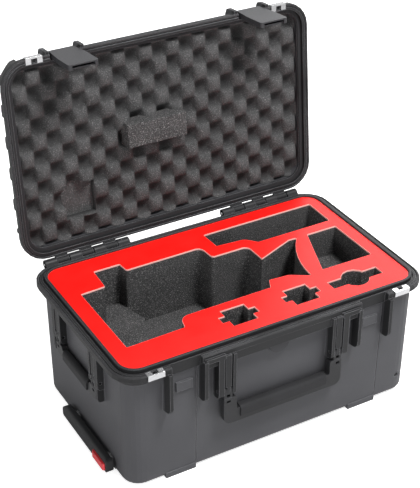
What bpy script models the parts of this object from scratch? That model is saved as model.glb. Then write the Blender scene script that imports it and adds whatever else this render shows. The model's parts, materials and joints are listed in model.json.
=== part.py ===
"""Wheeled transit case for a drone, shown open: hinged lid, cut foam, latches and handles.

Metres, +Z up. The origin is in the middle of the base's underside; the feet reach below it.
The front faces -Y.
Every piece is modelled where it lies with the case shut; the lid's empty then swings it open.
"""
import math
from collections import namedtuple

import bmesh
import bpy
from mathutils import Matrix, Vector

MM = 0.001

# Fits
FIT = 0.3 * MM
PIN_PLAY = 0.25 * MM

# Base shell
INNER_LENGTH = 560 * MM
INNER_WIDTH = 328.5 * MM
INNER_CORNER = 28 * MM
WALL = 5 * MM
WALL_DRAFT = 2 * MM
EDGE_RADIUS = 10 * MM
FOOT_HEIGHT = 3 * MM
FOOT_LENGTH = 60 * MM
FOOT_WIDTH = 40 * MM
FOOT_INSET_LEFT = 55 * MM
FOOT_INSET_RIGHT = 88 * MM
FOOT_INSET_SIDE = 10 * MM
PARTING_HEIGHT = 237.5 * MM
PARTING_GAP = 0.6 * MM
CORNER_STEPS = 6

# Rim: flange, sealing ridge and the groove beside it
FLANGE_REACH = 14.5 * MM
FLANGE_THICKNESS = 12 * MM
FLANGE_BREAK = 1.5 * MM
SHOULDER = 14 * MM
RIDGE_WIDTH = 5 * MM
RIDGE_HEIGHT = 5.8 * MM
RIDGE_BREAK = 1 * MM
GROOVE_WIDTH = 3 * MM
GROOVE_DEPTH = 3 * MM
DRIP_GROOVE_INSET = 4 * MM
DRIP_GROOVE_WIDTH = 2.5 * MM
DRIP_GROOVE_DEPTH = 2 * MM

# Lid
LID_DEPTH = 56 * MM
LID_EDGE_RADIUS = 18 * MM
LID_OPEN = math.radians(96)
LID_RIB_THICKNESS = 5 * MM
LID_RIB_PLACES = (-105 * MM, -55 * MM, 55 * MM, 105 * MM)
GASKET_THICKNESS = 2.2 * MM
GASKET_SQUEEZE_GAP = 1 * MM

# Hinges
HINGE_OUT = 8.5 * MM
HINGE_DROP = 2.5 * MM
HINGE_INNER = 98 * MM
HINGE_LENGTH = 166 * MM
HINGE_KNUCKLES = 7
KNUCKLE_GAP = 1.2 * MM
KNUCKLE_RADIUS = 6.5 * MM
KNUCKLE_WEB = 10 * MM
HINGE_PIN_RADIUS = 2.5 * MM

# Foam
FOAM_DROP = 2.5 * MM
FOAM_CLEARANCE = 0.5 * MM
RED_SHEET = 3 * MM
DRONE_DEPTH = 78 * MM
DEEP_POCKET = 40 * MM
TRAY_DEPTH = 60 * MM
SLOT_DEPTH = 42 * MM
SOCKET_LENGTH = 46 * MM
SOCKET_WIDTH = 47 * MM
SOCKET_TAB_LENGTH = 70 * MM
SOCKET_TAB_WIDTH = 16 * MM
BAR_SLOT_LENGTH = 102 * MM
BAR_SLOT_WIDTH = 22 * MM
BAR_SLOT_DISC = 25 * MM
LID_FOAM_PEAK_GAP = 3 * MM
LID_FOAM_RELIEF = 20 * MM
LID_FOAM_PITCH = 53 * MM
LID_FOAM_ROW = 29 * MM
PRESS_BLOCK_LENGTH = 118 * MM
PRESS_BLOCK_WIDTH = 46 * MM
PRESS_BLOCK_REACH = 16 * MM
PRESS_BLOCK_X = -26 * MM
PRESS_BLOCK_Y = -9 * MM
LID_POCKET_LENGTH = 60 * MM
LID_POCKET_WIDTH = 66 * MM
LID_POCKET_X = -176 * MM
LID_POCKET_Y = 95 * MM
LID_POCKET_DEPTH = 26 * MM

# Ribs and bands on the outside
RIB_ROUND = 10 * MM
GUARD_RIB = 6.5 * MM
GUARD_REACH = 20 * MM
GUARD_TAPER = 4 * MM
GUARD_TAPER_INSIDE = 1.5 * MM
GUARD_LENGTH = 90 * MM
BACK_RIB = 5 * MM
SIDE_RIB_REACH = 13 * MM
BAND_HEIGHT = 15 * MM
BAND_INSET = 0.4 * MM
LUG_LENGTH = 36 * MM
LUG_HEIGHT = 8 * MM
LUG_REACH = 19 * MM
VALVE_RADIUS = 20 * MM
VALVE_THICKNESS = 9 * MM
VALVE_X = -6 * MM
SEAM_PLACES = (-159 * MM, 209 * MM)
SEAM_WIDTH = 1.6 * MM
SEAM_DEPTH = 1.2 * MM
LID_GROOVE_HALF = 128 * MM
LID_GROOVE_WIDTH = 3 * MM
LID_GROOVE_DEPTH = 4 * MM
LID_NOTCH_PLACES = (-81 * MM, -5 * MM, 71 * MM)
LID_NOTCH_LENGTH = 7 * MM

# Latches
LATCH_X = 182 * MM
LATCH_SPAN = 64 * MM
LATCH_WIDTH = 54 * MM
LATCH_LENGTH = 92 * MM
LATCH_SKIN = 2.5 * MM
LATCH_DEPTH = 9.5 * MM
LATCH_OUT = 15.5 * MM
LATCH_TAPER = 4 * MM
LATCH_PIVOT_OUT = 10.5 * MM
LATCH_PIVOT_RISE = 15 * MM
LATCH_BARREL = 4.8 * MM
LATCH_PIN_RADIUS = 2 * MM
LATCH_NOTCH = 4.5 * MM
NOTCH_INSET = 1 * MM
EAR_HEIGHT = 39 * MM
TRIGGER_PIVOT_DROP = 47 * MM
TRIGGER_LENGTH = 48 * MM
TRIGGER_TAIL = 10 * MM
TRIGGER_PLATE = 2 * MM
TRIGGER_PIN_RADIUS = 1.5 * MM
TRIGGER_EYE = 2.6 * MM
HOOK_WIDTH = 26 * MM
HOOK_THICKNESS = 4.5 * MM
HOOK_DROP = 79 * MM
HOOK_CLEARANCE = 0.8 * MM
CATCH_WIDTH = 30 * MM
CATCH_HEIGHT = 18 * MM
CATCH_REACH = 3.5 * MM
CATCH_GAP = 1.6 * MM

# Padlock plates
PLATE_X = 238 * MM
PLATE_WIDTH = 30 * MM
PLATE_THICKNESS = 1.2 * MM
PLATE_LEG = 10 * MM
PLATE_SLOT = 11 * MM
PADLOCK_HOLE = 3.8 * MM

# Fold-down handles
FIN = 11 * MM
FIN_INNER = 6 * MM
FIN_BELOW = 14 * MM
SLOT = 16 * MM
SLOT_GROOVE = 2.4 * MM
FORK_NOTCH = 6.4 * MM
FORK_DEPTH = 15 * MM
FINGER_BELOW = 8 * MM
WINDOW_WIDTH = 8 * MM
WINDOW_HEIGHT = 5 * MM
WINDOW_DROP = 24 * MM
WINDOW_DEPTH = 5 * MM
HANDLE_ARM = 24 * MM
HANDLE_CORNER = 14 * MM
HANDLE_OVERHANG = 8.5 * MM
HANDLE_EYE = 5.5 * MM
HANDLE_PIN_RADIUS = 2.5 * MM
GRIP_WALL = 3 * MM
GRIP_INSIDE = 1.9 * MM
GRIP_END_GAP = 7 * MM
FRONT_HANDLE_SLOT = 108 * MM
FRONT_HANDLE_PIVOT = 82 * MM
FRONT_HANDLE_DROP = 71 * MM
FRONT_HANDLE_OUT = 12 * MM
FRONT_HANDLE_THICKNESS = 12 * MM
FRONT_HANDLE_BAR = 27 * MM
FRONT_HANDLE_BAND = 10 * MM
END_HANDLE_SLOT = 70 * MM
END_HANDLE_PIVOT = 64 * MM
END_HANDLE_DROP = 42 * MM
END_HANDLE_OUT = 7.5 * MM
END_HANDLE_THICKNESS = 9 * MM
END_HANDLE_BAR = 19 * MM
END_HANDLE_BAND = 3 * MM
END_GUARD_BELOW = 40 * MM

# Pull handle under the base
CHANNEL_LENGTH = 470 * MM
CHANNEL_WALL = 3 * MM
CHANNEL_ROOM = 10 * MM
CHANNEL_COVER = 2.5 * MM
COVER_RIBS = (0.15, 0.5, 0.85)
COVER_RIB_LENGTH = 14 * MM
PULL_Y = -31 * MM
TUBE_SPREAD = 126 * MM
TUBE_HEIGHT = 18.5 * MM
TUBE_RADIUS = 6.5 * MM
TUBE_END_ROOM = 25 * MM
SLEEVE_WALL = 1.5 * MM
SLEEVE_END_ROOM = 25 * MM
SLEEVE_PROUD = 1.5 * MM
PULL_GRIP_LENGTH = 176 * MM
PULL_GRIP_HEIGHT = 28 * MM
PULL_GRIP_THICKNESS = 14 * MM
PULL_GRIP_STANDOFF = 4 * MM
PULL_GRIP_ROUND = 6 * MM
PULL_GRIP_END_ROUND = 11 * MM
BUTTON_LENGTH = 44 * MM
BUTTON_HEIGHT = 13 * MM
BUTTON_PROUD = 4 * MM
BUTTON_TRAVEL = 2.5 * MM
BUTTON_SEAT = 6 * MM
BUTTON_FROM_END = 5 * MM

# Wheels
WHEEL_RADIUS = 36 * MM
WHEEL_WIDTH = 26 * MM
WHEEL_INSET = 29 * MM
WHEEL_LIFT = 2.5 * MM
WHEEL_SPREAD = 230 * MM
WHEEL_ROOM = 4 * MM
WHEEL_SIDE_ROOM = 2 * MM
WELL_WALL = 3 * MM
WHEEL_END_RADIUS = 30 * MM
HUB_RADIUS = 25 * MM
HUB_DISH = 5 * MM
AXLE_RADIUS = 4 * MM
AXLE_BOSS = 8 * MM
AXLE_SUNK = 2 * MM
ROUND_STEPS = 14
WHEEL_STEPS = 24

# Worked out from the sizes above
HALF_LENGTH = INNER_LENGTH / 2
HALF_WIDTH = INNER_WIDTH / 2
BASE_TOP = PARTING_HEIGHT - PARTING_GAP / 2
LID_LOW = PARTING_HEIGHT + PARTING_GAP / 2
LID_TOP = LID_LOW + LID_DEPTH
RIDGE_TOP = BASE_TOP + RIDGE_HEIGHT
FLANGE_LOW = BASE_TOP - FLANGE_THICKNESS
FLANGE_OFFSET = WALL + FLANGE_REACH
FLOOR_TOP = WALL
FOAM_TOP = PARTING_HEIGHT + FOAM_DROP
SEAT_HEIGHT = RIDGE_TOP + GASKET_SQUEEZE_GAP + GASKET_THICKNESS + FIT
HINGE_AT = Vector((0, HALF_WIDTH + FLANGE_OFFSET + HINGE_OUT, PARTING_HEIGHT - HINGE_DROP))
BAND_LOW = FLANGE_LOW - BAND_HEIGHT
LATCH_PIVOT_Z = LID_LOW + LATCH_PIVOT_RISE
LATCH_GAP = LATCH_SPAN / 2 - GUARD_RIB / 2
HOOK_TOP = LATCH_PIVOT_Z - HOOK_DROP
WHEEL_X = HALF_LENGTH + WALL - WHEEL_INSET
WHEEL_Z = WHEEL_RADIUS + WHEEL_LIFT - FOOT_HEIGHT
SLEEVE_RADIUS = TUBE_RADIUS + FIT + SLEEVE_WALL
CHANNEL_HALF = TUBE_SPREAD / 2 + SLEEVE_RADIUS + CHANNEL_ROOM / 2
CHANNEL_TOP = TUBE_HEIGHT + SLEEVE_RADIUS + FIT
SLEEVE_LENGTH = CHANNEL_LENGTH - SLEEVE_END_ROOM
TUBE_LENGTH = SLEEVE_LENGTH - TUBE_END_ROOM

Axis = namedtuple("Axis", "empty at")


def clear_scene():
    for obj in list(bpy.data.objects):
        bpy.data.objects.remove(obj, do_unlink=True)


def new_collection(name, parent):
    collection = bpy.data.collections.new(name)
    parent.children.link(collection)
    return collection


def new_material(name, colour, roughness, metallic=0.0):
    material = bpy.data.materials.new(name)
    material.use_nodes = True
    shader = material.node_tree.nodes["Principled BSDF"]
    shader.inputs["Base Color"].default_value = (*colour, 1.0)
    shader.inputs["Roughness"].default_value = roughness
    shader.inputs["Metallic"].default_value = metallic
    return material


clear_scene()
PARTS = new_collection("drone_case", bpy.context.scene.collection)
CUTTERS = new_collection("drone_case_cutters", bpy.context.scene.collection)
SHELL = new_material("shell_plastic", (0.10, 0.10, 0.11), 0.55)
LATCH = new_material("latch_plastic", (0.16, 0.16, 0.18), 0.45)
RUBBER = new_material("grip_rubber", (0.05, 0.05, 0.055), 0.8)
CHARCOAL = new_material("charcoal_foam", (0.055, 0.055, 0.058), 0.95)
RED_FOAM = new_material("red_foam", (0.80, 0.03, 0.02), 0.85)
RED_PLASTIC = new_material("red_button", (0.62, 0.03, 0.04), 0.3)
STEEL = new_material("steel", (0.75, 0.75, 0.76), 0.25, 1.0)
TYRE = new_material("tyre", (0.03, 0.03, 0.03), 0.75)


def to_object(name, bm, collection):
    bmesh.ops.recalc_face_normals(bm, faces=bm.faces)
    mesh = bpy.data.meshes.new(name)
    bm.to_mesh(mesh)
    bm.free()
    obj = bpy.data.objects.new(name, mesh)
    collection.objects.link(obj)
    return obj


def part(name, bm, material, axis=None):
    """One named piece of the case; a piece on an axis moves with that axis's empty."""
    obj = to_object(name, bm, PARTS)
    obj.data.materials.append(material)
    obj.data.shade_smooth()
    obj.data.set_sharp_from_angle(angle=math.radians(35))
    if axis:
        obj.parent = axis.empty
        obj.location = -axis.at
    return obj


def tool_group(name):
    return new_collection(name, CUTTERS)


def tool(group, bm):
    """A shape that is added to or cut from a piece."""
    obj = to_object(group.name + "_piece", bm, group)
    obj.hide_render = True
    obj.display_type = "WIRE"
    return obj


def combine(obj, group, operation):
    modifier = obj.modifiers.new(group.name, "BOOLEAN")
    modifier.operation = operation
    modifier.operand_type = "COLLECTION"
    modifier.collection = group
    modifier.solver = "EXACT"


def new_axis(name, at, parent=None, turn=0.0):
    """An empty on a joint's axis. A child axis is placed from where its parent is when shut."""
    empty = bpy.data.objects.new(name, None)
    empty.empty_display_size = 20 * MM
    PARTS.objects.link(empty)
    empty.location = at
    if parent:
        empty.parent = parent.empty
        empty.location = at - parent.at
    empty.rotation_euler = (turn, 0, 0)
    return Axis(empty, at)


def arc(centre, radius, start, end, steps):
    """Points along an arc, angles in degrees."""
    points = []
    for step in range(steps + 1):
        angle = math.radians(start + (end - start) * step / steps)
        points.append((centre[0] + radius * math.cos(angle), centre[1] + radius * math.sin(angle)))
    return points


def rounded_rect(half_x, half_y, radius, steps=CORNER_STEPS):
    points = []
    for sign_x, sign_y, start in ((1, 1, 0), (-1, 1, 90), (-1, -1, 180), (1, -1, 270)):
        centre = (sign_x * (half_x - radius), sign_y * (half_y - radius))
        points += arc(centre, radius, start, start + 90, steps)
    return points


def filleted(corners, steps=4):
    """A closed outline through (x, y, radius) corners, each rounded by its own radius."""
    outline = []
    for index, (x, y, radius) in enumerate(corners):
        corner = Vector((x, y))
        to_last = Vector(corners[index - 1][:2]) - corner
        to_next = Vector(corners[(index + 1) % len(corners)][:2]) - corner
        if radius <= 0:
            outline.append((x, y))
            continue
        half_angle = to_last.angle(to_next) / 2
        room = 0.49 * min(to_last.length, to_next.length)
        tangent = min(radius / math.tan(half_angle), room)
        radius = tangent * math.tan(half_angle)
        centre = corner + (to_last.normalized() + to_next.normalized()).normalized() * (
            radius / math.sin(half_angle))
        start = corner + to_last.normalized() * tangent - centre
        end = corner + to_next.normalized() * tangent - centre
        sweep = math.atan2(start.x * end.y - start.y * end.x, start.dot(end))
        for step in range(steps + 1):
            turned = Matrix.Rotation(sweep * step / steps, 2) @ start
            outline.append(tuple(centre + turned))
    return outline


def bowed(start, end, sagitta, steps=6):
    """Corners along an edge that bows to its left by the sagitta, without its two ends."""
    start, end = Vector(start), Vector(end)
    along = end - start
    left = Vector((-along.y, along.x)).normalized()
    corners = []
    for step in range(1, steps):
        share = step / steps
        point = start + along * share + left * (4 * sagitta * share * (1 - share))
        corners.append((point.x, point.y, 0))
    return corners


def box(x0, x1, y0, y1, z0, z1, frame=Matrix.Identity(4)):
    bm = bmesh.new()
    size = Matrix.Diagonal((x1 - x0, y1 - y0, z1 - z0, 1))
    middle = Matrix.Translation(((x0 + x1) / 2, (y0 + y1) / 2, (z0 + z1) / 2))
    bmesh.ops.create_cube(bm, size=1, matrix=frame @ middle @ size)
    return bm


def rod(start, end, radius, frame=Matrix.Identity(4), steps=ROUND_STEPS):
    """A solid cylinder between two points."""
    bm = bmesh.new()
    start, end = frame @ Vector(start), frame @ Vector(end)
    turn = Vector((0, 0, 1)).rotation_difference(end - start).to_matrix().to_4x4()
    place = Matrix.Translation((start + end) / 2) @ turn
    bmesh.ops.create_cone(bm, cap_ends=True, segments=steps, radius1=radius, radius2=radius,
                          depth=(end - start).length, matrix=place)
    return bm


AXES = {"x": lambda a, b, h: (h, a, b), "y": lambda a, b, h: (a, h, b), "z": lambda a, b, h: (a, b, h)}


def prism(outline, along, low, high, frame=Matrix.Identity(4)):
    """An outline drawn square to an axis and pushed along it from low to high."""
    bm = bmesh.new()
    place = AXES[along]
    face = bm.faces.new([bm.verts.new(frame @ Vector(place(a, b, low))) for a, b in outline])
    pushed = bmesh.ops.extrude_face_region(bm, geom=[face])
    step = frame.to_3x3() @ Vector(place(0, 0, high - low))
    moved = [v for v in pushed["geom"] if isinstance(v, bmesh.types.BMVert)]
    bmesh.ops.translate(bm, verts=moved, vec=step)
    return bm


def pipe(start, end, radius, bore):
    """A straight tube along X between two points."""
    bm = bmesh.new()
    rings = []
    for x, r in ((start[0], bore), (start[0], radius), (end[0], radius), (end[0], bore)):
        loop = [(x, start[1] + a, start[2] + b) for a, b in arc((0, 0), r, 0, 360, ROUND_STEPS)[:-1]]
        rings.append([bm.verts.new(point) for point in loop])
    bridge(bm, rings + rings[:1])
    return bm


def bridge(bm, loops):
    for lower, upper in zip(loops, loops[1:]):
        for index in range(len(lower)):
            after = (index + 1) % len(lower)
            bm.faces.new((lower[index], lower[after], upper[after], upper[index]))


def rim_loft(profile, ring=False):
    """Rounded rectangles round the interior, at (offset from the inner wall, height) stations."""
    bm = bmesh.new()
    loops = []
    for offset, height in profile:
        outline = rounded_rect(HALF_LENGTH + offset, HALF_WIDTH + offset, INNER_CORNER + offset)
        loops.append([bm.verts.new((x, y, height)) for x, y in outline])
    bridge(bm, loops + loops[:1] if ring else loops)
    if not ring:
        bm.faces.new(loops[0])
        bm.faces.new(loops[-1])
    return bm


def turned(profile, centre, steps=WHEEL_STEPS):
    """A closed (radius, y) profile turned about an axis along Y."""
    bm = bmesh.new()
    verts = [bm.verts.new((centre[0] + r, centre[1] + y, centre[2])) for r, y in profile]
    edges = [bm.edges.new((verts[i - 1], verts[i])) for i in range(len(verts))]
    bmesh.ops.spin(bm, geom=verts + edges, cent=centre, axis=(0, 1, 0), angle=math.tau, steps=steps,
                   use_merge=True)
    bmesh.ops.remove_doubles(bm, verts=bm.verts, dist=0.001 * MM)
    return bm


def side_frame(turn, reach):
    """Along a wall is x, out of the wall is -y, and y = 0 is the wall's outer face."""
    return Matrix.Rotation(turn, 4, "Z") @ Matrix.Translation((0, -reach, 0))


FRONT = side_frame(0, HALF_WIDTH + WALL)
BACK = side_frame(math.pi, HALF_WIDTH + WALL)
LEFT = side_frame(-math.pi / 2, HALF_LENGTH + WALL)
RIGHT = side_frame(math.pi / 2, HALF_LENGTH + WALL)
BURIED = WALL / 2


def fin(middle, thickness, reach, low, high, frame, tapers=(0.0, 0.0)):
    """An upright rib on a wall, rounded where it ends below and thicker at its root by two tapers."""
    outline = filleted([(BURIED, low, 0), (-reach, low, RIB_ROUND), (-reach, high, 0), (BURIED, high, 0)])
    bm = prism(outline, "x", middle - thickness / 2, middle + thickness / 2)
    for vert in bm.verts:
        share = (vert.co.y + reach) / (reach + BURIED)
        vert.co.x += share * (tapers[1] if vert.co.x > middle else -tapers[0])
    bmesh.ops.transform(bm, matrix=frame, verts=bm.verts)
    return bm


def base_profile():
    outer = WALL - WALL_DRAFT
    edge = arc((outer - EDGE_RADIUS, EDGE_RADIUS), EDGE_RADIUS, -90, 0, 4)
    groove_side = RIDGE_WIDTH + GROOVE_WIDTH
    drip_far = FLANGE_OFFSET - DRIP_GROOVE_INSET
    drip_near = drip_far - DRIP_GROOVE_WIDTH
    return edge + [
        (WALL, FLANGE_LOW - SHOULDER),
        (FLANGE_OFFSET - FLANGE_BREAK, FLANGE_LOW),
        (FLANGE_OFFSET, FLANGE_LOW + FLANGE_BREAK),
        (FLANGE_OFFSET, BASE_TOP - FLANGE_BREAK),
        (FLANGE_OFFSET - FLANGE_BREAK, BASE_TOP),
        (drip_far, BASE_TOP),
        (drip_far, BASE_TOP - DRIP_GROOVE_DEPTH),
        (drip_near, BASE_TOP - DRIP_GROOVE_DEPTH),
        (drip_near, BASE_TOP),
        (groove_side, BASE_TOP),
        (groove_side, BASE_TOP - GROOVE_DEPTH),
        (RIDGE_WIDTH, BASE_TOP - GROOVE_DEPTH),
        (RIDGE_WIDTH, RIDGE_TOP - RIDGE_BREAK),
        (RIDGE_WIDTH - RIDGE_BREAK, RIDGE_TOP),
        (RIDGE_BREAK, RIDGE_TOP),
        (0, RIDGE_TOP - RIDGE_BREAK),
        (0, FLOOR_TOP),
    ]


def lid_edge_centre():
    return WALL - WALL_DRAFT - LID_EDGE_RADIUS, LID_TOP - LID_EDGE_RADIUS


def lid_profile():
    outer = WALL - WALL_DRAFT
    edge = arc(lid_edge_centre(), LID_EDGE_RADIUS, 90, 0, 5)
    inner_edge = arc(lid_edge_centre(), LID_EDGE_RADIUS - outer, 0, 90, 5)
    flange_high = LID_LOW + FLANGE_THICKNESS
    drip_far = FLANGE_OFFSET - DRIP_GROOVE_INSET
    drip_near = drip_far - DRIP_GROOVE_WIDTH
    return edge + [
        (WALL, flange_high + SHOULDER / 2),
        (FLANGE_OFFSET - FLANGE_BREAK, flange_high),
        (FLANGE_OFFSET, flange_high - FLANGE_BREAK),
        (FLANGE_OFFSET, LID_LOW + FLANGE_BREAK),
        (FLANGE_OFFSET - FLANGE_BREAK, LID_LOW),
        (drip_far, LID_LOW),
        (drip_far, LID_LOW + DRIP_GROOVE_DEPTH),
        (drip_near, LID_LOW + DRIP_GROOVE_DEPTH),
        (drip_near, LID_LOW),
        (0, LID_LOW),
    ] + inner_edge


Handle = namedtuple("Handle", "name frame slot pivot_z drop out thickness bar band guard_below")
HANDLES = (
    Handle("front_handle", FRONT, FRONT_HANDLE_SLOT, BASE_TOP - FRONT_HANDLE_PIVOT, FRONT_HANDLE_DROP,
           FRONT_HANDLE_OUT, FRONT_HANDLE_THICKNESS, FRONT_HANDLE_BAR, FRONT_HANDLE_BAND, 0),
    Handle("left_handle", LEFT, END_HANDLE_SLOT, BASE_TOP - END_HANDLE_PIVOT, END_HANDLE_DROP,
           END_HANDLE_OUT, END_HANDLE_THICKNESS, END_HANDLE_BAR, END_HANDLE_BAND, END_GUARD_BELOW),
    Handle("right_handle", RIGHT, END_HANDLE_SLOT, BASE_TOP - END_HANDLE_PIVOT, END_HANDLE_DROP,
           END_HANDLE_OUT, END_HANDLE_THICKNESS, END_HANDLE_BAR, END_HANDLE_BAND, END_GUARD_BELOW),
)


def add_handle_brackets(added, cut, handle):
    """Two bored fins at each end of a handle, with a tongue between them that enters its fork."""
    reach = handle.out + handle.thickness / 2 + 1 * MM
    top = FLANGE_LOW + FLANGE_BREAK
    for side in (-1, 1):
        middle = side * handle.slot
        for step, thickness in ((side, FIN), (-side, FIN_INNER)):
            place = middle + step * (SLOT + thickness) / 2
            tool(added, fin(place, thickness, reach, handle.pivot_z - FIN_BELOW, top, handle.frame))
        half = SLOT / 2 - SLOT_GROOVE
        low = handle.pivot_z + HANDLE_EYE + 2 * MM
        face = -reach + 1 * MM
        tool(added, box(middle - half, middle + half, face, BURIED, low, top, handle.frame))
        half = FORK_NOTCH / 2 - 2 * FIT
        tool(added, box(middle - half, middle + half, face, BURIED, handle.pivot_z - FINGER_BELOW,
                        low + WALL, handle.frame))
        if handle.guard_below:
            place = side * (handle.slot + HANDLE_OVERHANG + 2 * MM + GUARD_RIB / 2)
            tool(added, fin(place, GUARD_RIB, reach, handle.pivot_z - handle.guard_below, top, handle.frame))
        ends = [(place, -handle.out, handle.pivot_z) for place in handle_pin_ends(handle, side, -BURIED)]
        tool(cut, rod(*ends, HANDLE_PIN_RADIUS + PIN_PLAY, handle.frame))


def handle_pin_ends(handle, side, inset):
    """Where a handle's pin begins and ends along its wall, drawn in from the two fins by the inset."""
    outer = handle.slot + SLOT / 2 + FIN - inset
    inner = handle.slot - SLOT / 2 - FIN_INNER + inset
    return side * outer, side * inner


def hinge_pieces(side):
    """The knuckles of one hinge as (low x, high x, belongs to the lid)."""
    pitch = HINGE_LENGTH / HINGE_KNUCKLES
    pieces = []
    for index in range(HINGE_KNUCKLES):
        near = side * (HINGE_INNER + index * pitch)
        far = side * (HINGE_INNER + (index + 1) * pitch)
        low, high = min(near, far) + KNUCKLE_GAP / 2, max(near, far) - KNUCKLE_GAP / 2
        pieces.append((low, high, index % 2 == 1))
    return pieces


def add_knuckles(added, cut, lid_side):
    """Barrels round the hinge axis, each webbed to the flange it belongs to."""
    root = -HINGE_OUT - WALL / 2
    round_ = KNUCKLE_RADIUS
    if lid_side:
        web = [(root, HINGE_DROP + 1 * MM), (root, HINGE_DROP + KNUCKLE_WEB),
               (0.46 * round_, 0.88 * round_), (-0.77 * round_, 0.23 * round_)]
    else:
        web = [(root, -KNUCKLE_WEB), (root, HINGE_DROP - 1 * MM),
               (-0.54 * round_, 0.82 * round_), (0.4 * round_, -0.83 * round_)]
    frame = Matrix.Translation(HINGE_AT)
    for side in (-1, 1):
        for low, high, on_lid in hinge_pieces(side):
            if on_lid == lid_side:
                tool(added, rod((low, 0, 0), (high, 0, 0), round_, frame))
                tool(added, prism(web, "x", low, high, frame))
        ends = sorted((side * (HINGE_INNER - WALL), side * (HINGE_INNER + HINGE_LENGTH + WALL)))
        tool(cut, rod((ends[0], 0, 0), (ends[1], 0, 0), HINGE_PIN_RADIUS + PIN_PLAY, frame))


def add_padlock_seats(cut, low, high, upward):
    """A shallow seat for each plate's leg and an upright hole for the padlock's shackle."""
    face = -FLANGE_REACH
    seat = PLATE_THICKNESS + FIT
    for side in (-1, 1):
        x0, x1 = side * PLATE_X - PLATE_WIDTH / 2 - FIT, side * PLATE_X + PLATE_WIDTH / 2 + FIT
        z0, z1 = (high - seat, high + seat) if upward else (low - seat, low + seat)
        tool(cut, box(x0, x1, face - WALL, face + PLATE_LEG + FIT, z0, z1, FRONT))
        hole = (side * PLATE_X, face + PLATE_LEG / 2)
        tool(cut, rod((*hole, low - SHOULDER), (*hole, high + SHOULDER), PADLOCK_HOLE, FRONT))


def add_latch_notches(cut, low, high):
    """The flange is cut back between the guard ribs so that the latch lies inside them."""
    half = LATCH_GAP - NOTCH_INSET
    for side in (-1, 1):
        x = side * LATCH_X
        tool(cut, box(x - half, x + half, -GUARD_REACH - WALL, -LATCH_NOTCH, low, high, FRONT))


def make_base():
    shell = part("base_shell", rim_loft(base_profile()), SHELL)
    added = tool_group("base_added")
    cut = tool_group("base_cut")
    rib_top = FLANGE_LOW + FLANGE_BREAK

    for side in (-1, 1):
        for step in (-1, 1):
            place = side * LATCH_X + step * LATCH_SPAN / 2
            low = BASE_TOP - GUARD_LENGTH
            tapers = (GUARD_TAPER, GUARD_TAPER_INSIDE)[::-step]
            tool(added, fin(place, GUARD_RIB, GUARD_REACH, low, rib_top, FRONT, tapers))
        x0, x1 = side * LATCH_X - CATCH_WIDTH / 2, side * LATCH_X + CATCH_WIDTH / 2
        catch_low = HOOK_TOP + CATCH_GAP
        tool(added, box(x0, x1, -CATCH_REACH, BURIED, catch_low, catch_low + CATCH_HEIGHT, FRONT))
        for place in (HINGE_INNER, HINGE_INNER + HINGE_LENGTH):
            low = BASE_TOP - GUARD_LENGTH
            tool(added, fin(side * place, BACK_RIB, SIDE_RIB_REACH, low, rib_top, BACK))
        lug_end = LATCH_X - LATCH_SPAN / 2
        x0, x1 = sorted((side * lug_end, side * (lug_end - LUG_LENGTH)))
        low, high = rib_top - LUG_HEIGHT / 2, rib_top + LUG_HEIGHT / 2
        tool(added, box(x0, x1, -LUG_REACH, BURIED, low, high, FRONT))
    band_end = LATCH_X - LATCH_SPAN / 2
    tool(added, box(-band_end, band_end, -FLANGE_REACH + BAND_INSET, BURIED, BAND_LOW, rib_top, FRONT))

    for handle in HANDLES:
        add_handle_brackets(added, cut, handle)
    add_latch_notches(cut, FLANGE_LOW - SHOULDER, RIDGE_TOP)
    add_front_seams(cut)
    add_knuckles(added, cut, lid_side=False)
    add_padlock_seats(cut, FLANGE_LOW, BASE_TOP, upward=True)
    add_feet(added)
    add_channel(added, cut)
    add_wheel_wells(added, cut)
    combine(shell, added, "UNION")
    combine(shell, cut, "DIFFERENCE")


def add_front_seams(cut):
    """Two fine upright grooves in the front wall, following its draft."""
    high = FLANGE_LOW - SHOULDER
    outline = [(-WALL, high), (SEAM_DEPTH, high), (WALL_DRAFT + SEAM_DEPTH, EDGE_RADIUS),
               (-WALL, EDGE_RADIUS)]
    for place in SEAM_PLACES:
        tool(cut, prism(outline, "x", place - SEAM_WIDTH / 2, place + SEAM_WIDTH / 2, FRONT))


def add_feet(added):
    for side in (-1, 1):
        edge = HALF_WIDTH - FOOT_INSET_SIDE
        y0, y1 = sorted((side * edge, side * (edge - FOOT_WIDTH)))
        left = -HALF_LENGTH + FOOT_INSET_LEFT
        right = HALF_LENGTH - FOOT_INSET_RIGHT - FOOT_LENGTH
        for x0 in (left, right):
            tool(added, box(x0, x0 + FOOT_LENGTH, y0, y1, -FOOT_HEIGHT, BURIED))


def add_channel(added, cut):
    """A tunnel moulded into the floor for the pull handle, open underneath and bored at the end."""
    x0, x1 = -HALF_LENGTH, -HALF_LENGTH + CHANNEL_LENGTH
    y0, y1 = PULL_Y - CHANNEL_HALF, PULL_Y + CHANNEL_HALF
    grown = CHANNEL_WALL
    tool(added, box(x0 - BURIED, x1 + grown, y0 - grown, y1 + grown, BURIED, CHANNEL_TOP + grown))
    tool(cut, box(x0, x1, y0, y1, -WALL, CHANNEL_TOP))
    for side in (-1, 1):
        y = PULL_Y + side * TUBE_SPREAD / 2
        start, end = (x0 - 2 * WALL, y, TUBE_HEIGHT), (x0 + WALL, y, TUBE_HEIGHT)
        tool(cut, rod(start, end, SLEEVE_RADIUS + FIT))


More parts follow.
